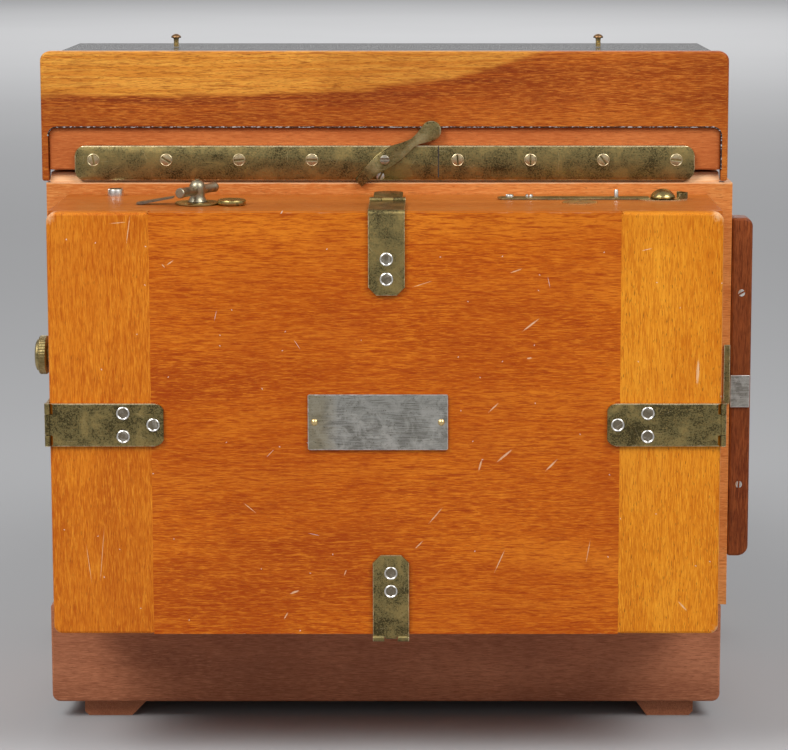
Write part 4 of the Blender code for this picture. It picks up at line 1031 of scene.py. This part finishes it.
def bellows():
    """Pleated leather bellows."""
    low, high = span("bellows")
    centre_z = middle("bellows").z
    rear, front = low.y, high.y
    rear_half, front_half = (122.0, 95.0), (84.0, 72.0)
    pleats, steps, fold_deep, skin, travel = 18, 4, 6.0, 1.6, 80.0
    count = pleats * steps
    shape = Shape()
    rings = []
    for n in range(count + 1):
        share = n / count
        phase = (n % steps) / steps
        swing = 0.5 - 0.5 * math.cos(2 * math.pi * phase)
        fold = fold_deep * (1 - swing ** 0.8)
        half = [a + (b - a) * share - fold for a, b in zip(rear_half, front_half)]
        corner = 7.0 + 3.5 * swing
        y = rear + (front - rear) * share
        rings.append([bellows_ring(shape.bm, half, y, corner, inset, centre_z) for inset in (0, skin)])
    for (outer, inner), (outer_next, inner_next) in zip(rings, rings[1:]):
        bridge(shape.bm, outer, outer_next)
        bridge(shape.bm, inner, inner_next)
    for outer, inner in (rings[0], rings[-1]):
        bridge(shape.bm, outer, inner)
    hide = leather("bellows_skin", (0.030, 0.008, 0.008))
    piece = shape.make("bellows_leather", hide, "camera", "leather", ("bellows",), angle=80)
    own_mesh(piece)


def bellows_ring(bm, half, y, corner, inset, centre_z):
    """A rectangle with rounded corners across the bellows."""
    a, b = half[0] - inset, half[1] - inset
    points = []
    for sign_a, sign_b, start in ((1, 1, 0), (-1, 1, 90), (-1, -1, 180), (1, -1, 270)):
        points += arc((sign_a * (a - corner), sign_b * (b - corner)), corner, start, start + 90, 3)
    return [bm.verts.new((x, y, centre_z + z)) for x, z in points]


def bridge(bm, ring, after):
    for n in range(len(ring)):
        following = (n + 1) % len(ring)
        bm.faces.new((ring[n], ring[following], after[following], after[n]))


def front_metal():
    """The focusing knobs and the plate for a tripod."""
    brass = bright_metal("focus_brass", (0.74, 0.56, 0.27), GOLD_GRIME, 0.22, 53.0, 0.45)
    dress("focus_pinion", brass, 0.2)
    dress("tripod_plate", aged_brass("tripod_brass", span("tripod_plate"), dark=0.3, seed=91.0), 0.3)


def lens():
    """The brass lens, the screws of its flange, its leather cap and the stop in its slot."""
    centre_z = middle("lens_barrel").z
    board = span("lens_board")[1].y
    flange, circle = 2.7, 32
    brass = bright_metal("barrel_brass", (0.78, 0.58, 0.27), GOLD_GRIME, 0.17, 57.0, 0.25)
    dress("lens_barrel", brass, 0.3)
    screws = Shape()
    for n in range(3):
        angle = math.radians(90 + 120 * n)
        place = (circle * math.cos(angle), board + flange, centre_z + circle * math.sin(angle))
        screws.screw(place, "+y", 2.0, 0.5, angle, 0.18)
    screws.make("flange_screws", brass, "rising_front", "brass")
    dress("lens_cap", leather("cap_leather", (0.022, 0.009, 0.008), pebble_size=0.7), 0.3)
    blackened = bright_metal("stop_black", (0.10, 0.09, 0.08), (0.3, 0.22, 0.1), 0.35, 59.0)
    dress("waterhouse_stop", blackened, 0.1)


# ---------------------------------------------------------------- studio


def studio():
    """A plain pale floor, a soft world and three soft lamps."""
    floor_look = Look("studio_floor", specular=0.1)
    tone = floor_look.noise(900, 2)
    colour = floor_look.mix(tone, (0.385, 0.385, 0.39), (0.41, 0.41, 0.415))
    floor_look.finish(colour, 0.9, ((floor_look.noise(3, 2), 0.02),))
    shape = Shape()
    shape.turned([(0, -2), (14000, -2), (14000, 0), (0, 0)], "+z", (0, 0, 0), 64)
    bmesh.ops.recalc_face_normals(shape.bm, faces=shape.bm.faces)
    bmesh.ops.scale(shape.bm, vec=(MM, MM, MM), verts=shape.bm.verts)
    mesh = bpy.data.meshes.new("floor")
    shape.bm.to_mesh(mesh)
    shape.bm.free()
    floor = bpy.data.objects.new("floor", mesh)
    bpy.context.scene.collection.objects.link(floor)
    mesh.materials.append(floor_look.material)
    world = bpy.data.worlds.new("studio")
    bpy.context.scene.world = world
    world.use_nodes = True
    background = world.node_tree.nodes["Background"]
    background.inputs["Color"].default_value = (0.97, 0.98, 1.0, 1)
    background.inputs["Strength"].default_value = 0.42
    lamp("key", (-1.05, -1.20, 1.65), (0, 0, 0.18), 1.0, 32)
    lamp("fill", (1.10, -1.15, 1.60), (0, 0, 0.18), 1.0, 26)
    lamp("backdrop", (0, 7.0, 3.5), (0, 7.0, 0), 5.0, 245)


def lamp(name, place, target, size, power):
    data = bpy.data.lights.new(name, "AREA")
    data.shape = "SQUARE"
    data.size = size
    data.energy = power
    light = bpy.data.objects.new(name, data)
    bpy.context.scene.collection.objects.link(light)
    light.location = place
    light.rotation_euler = (Vector(target) - Vector(place)).to_track_quat("-Z", "Y").to_euler()


def camera():
    data = bpy.data.cameras.new("camera")
    data.lens = LENS
    data.shift_x, data.shift_y = SHIFT
    eye = bpy.data.objects.new("camera", data)
    bpy.context.scene.collection.objects.link(eye)
    eye.location = CAMERA_PLACE
    eye.rotation_euler = (math.radians(90 - CAMERA_DOWN), 0, math.radians(-CAMERA_TURN))
    bpy.context.scene.camera = eye
    bpy.context.scene.view_settings.view_transform = "Standard"


# ---------------------------------------------------------------- everything

camera()
studio()
dress_woods()
door_joints()
strip_groove()
dress_rest()
side_hasp("left")
side_hasp("right")
top_hasp()
bottom_hasp()
side_flaps()
nameplate()
brass_strip()
latch()
winding_gear()
register()
lock_knob()
handle_fittings()
sight_pins()
bellows()
front_metal()
lens()
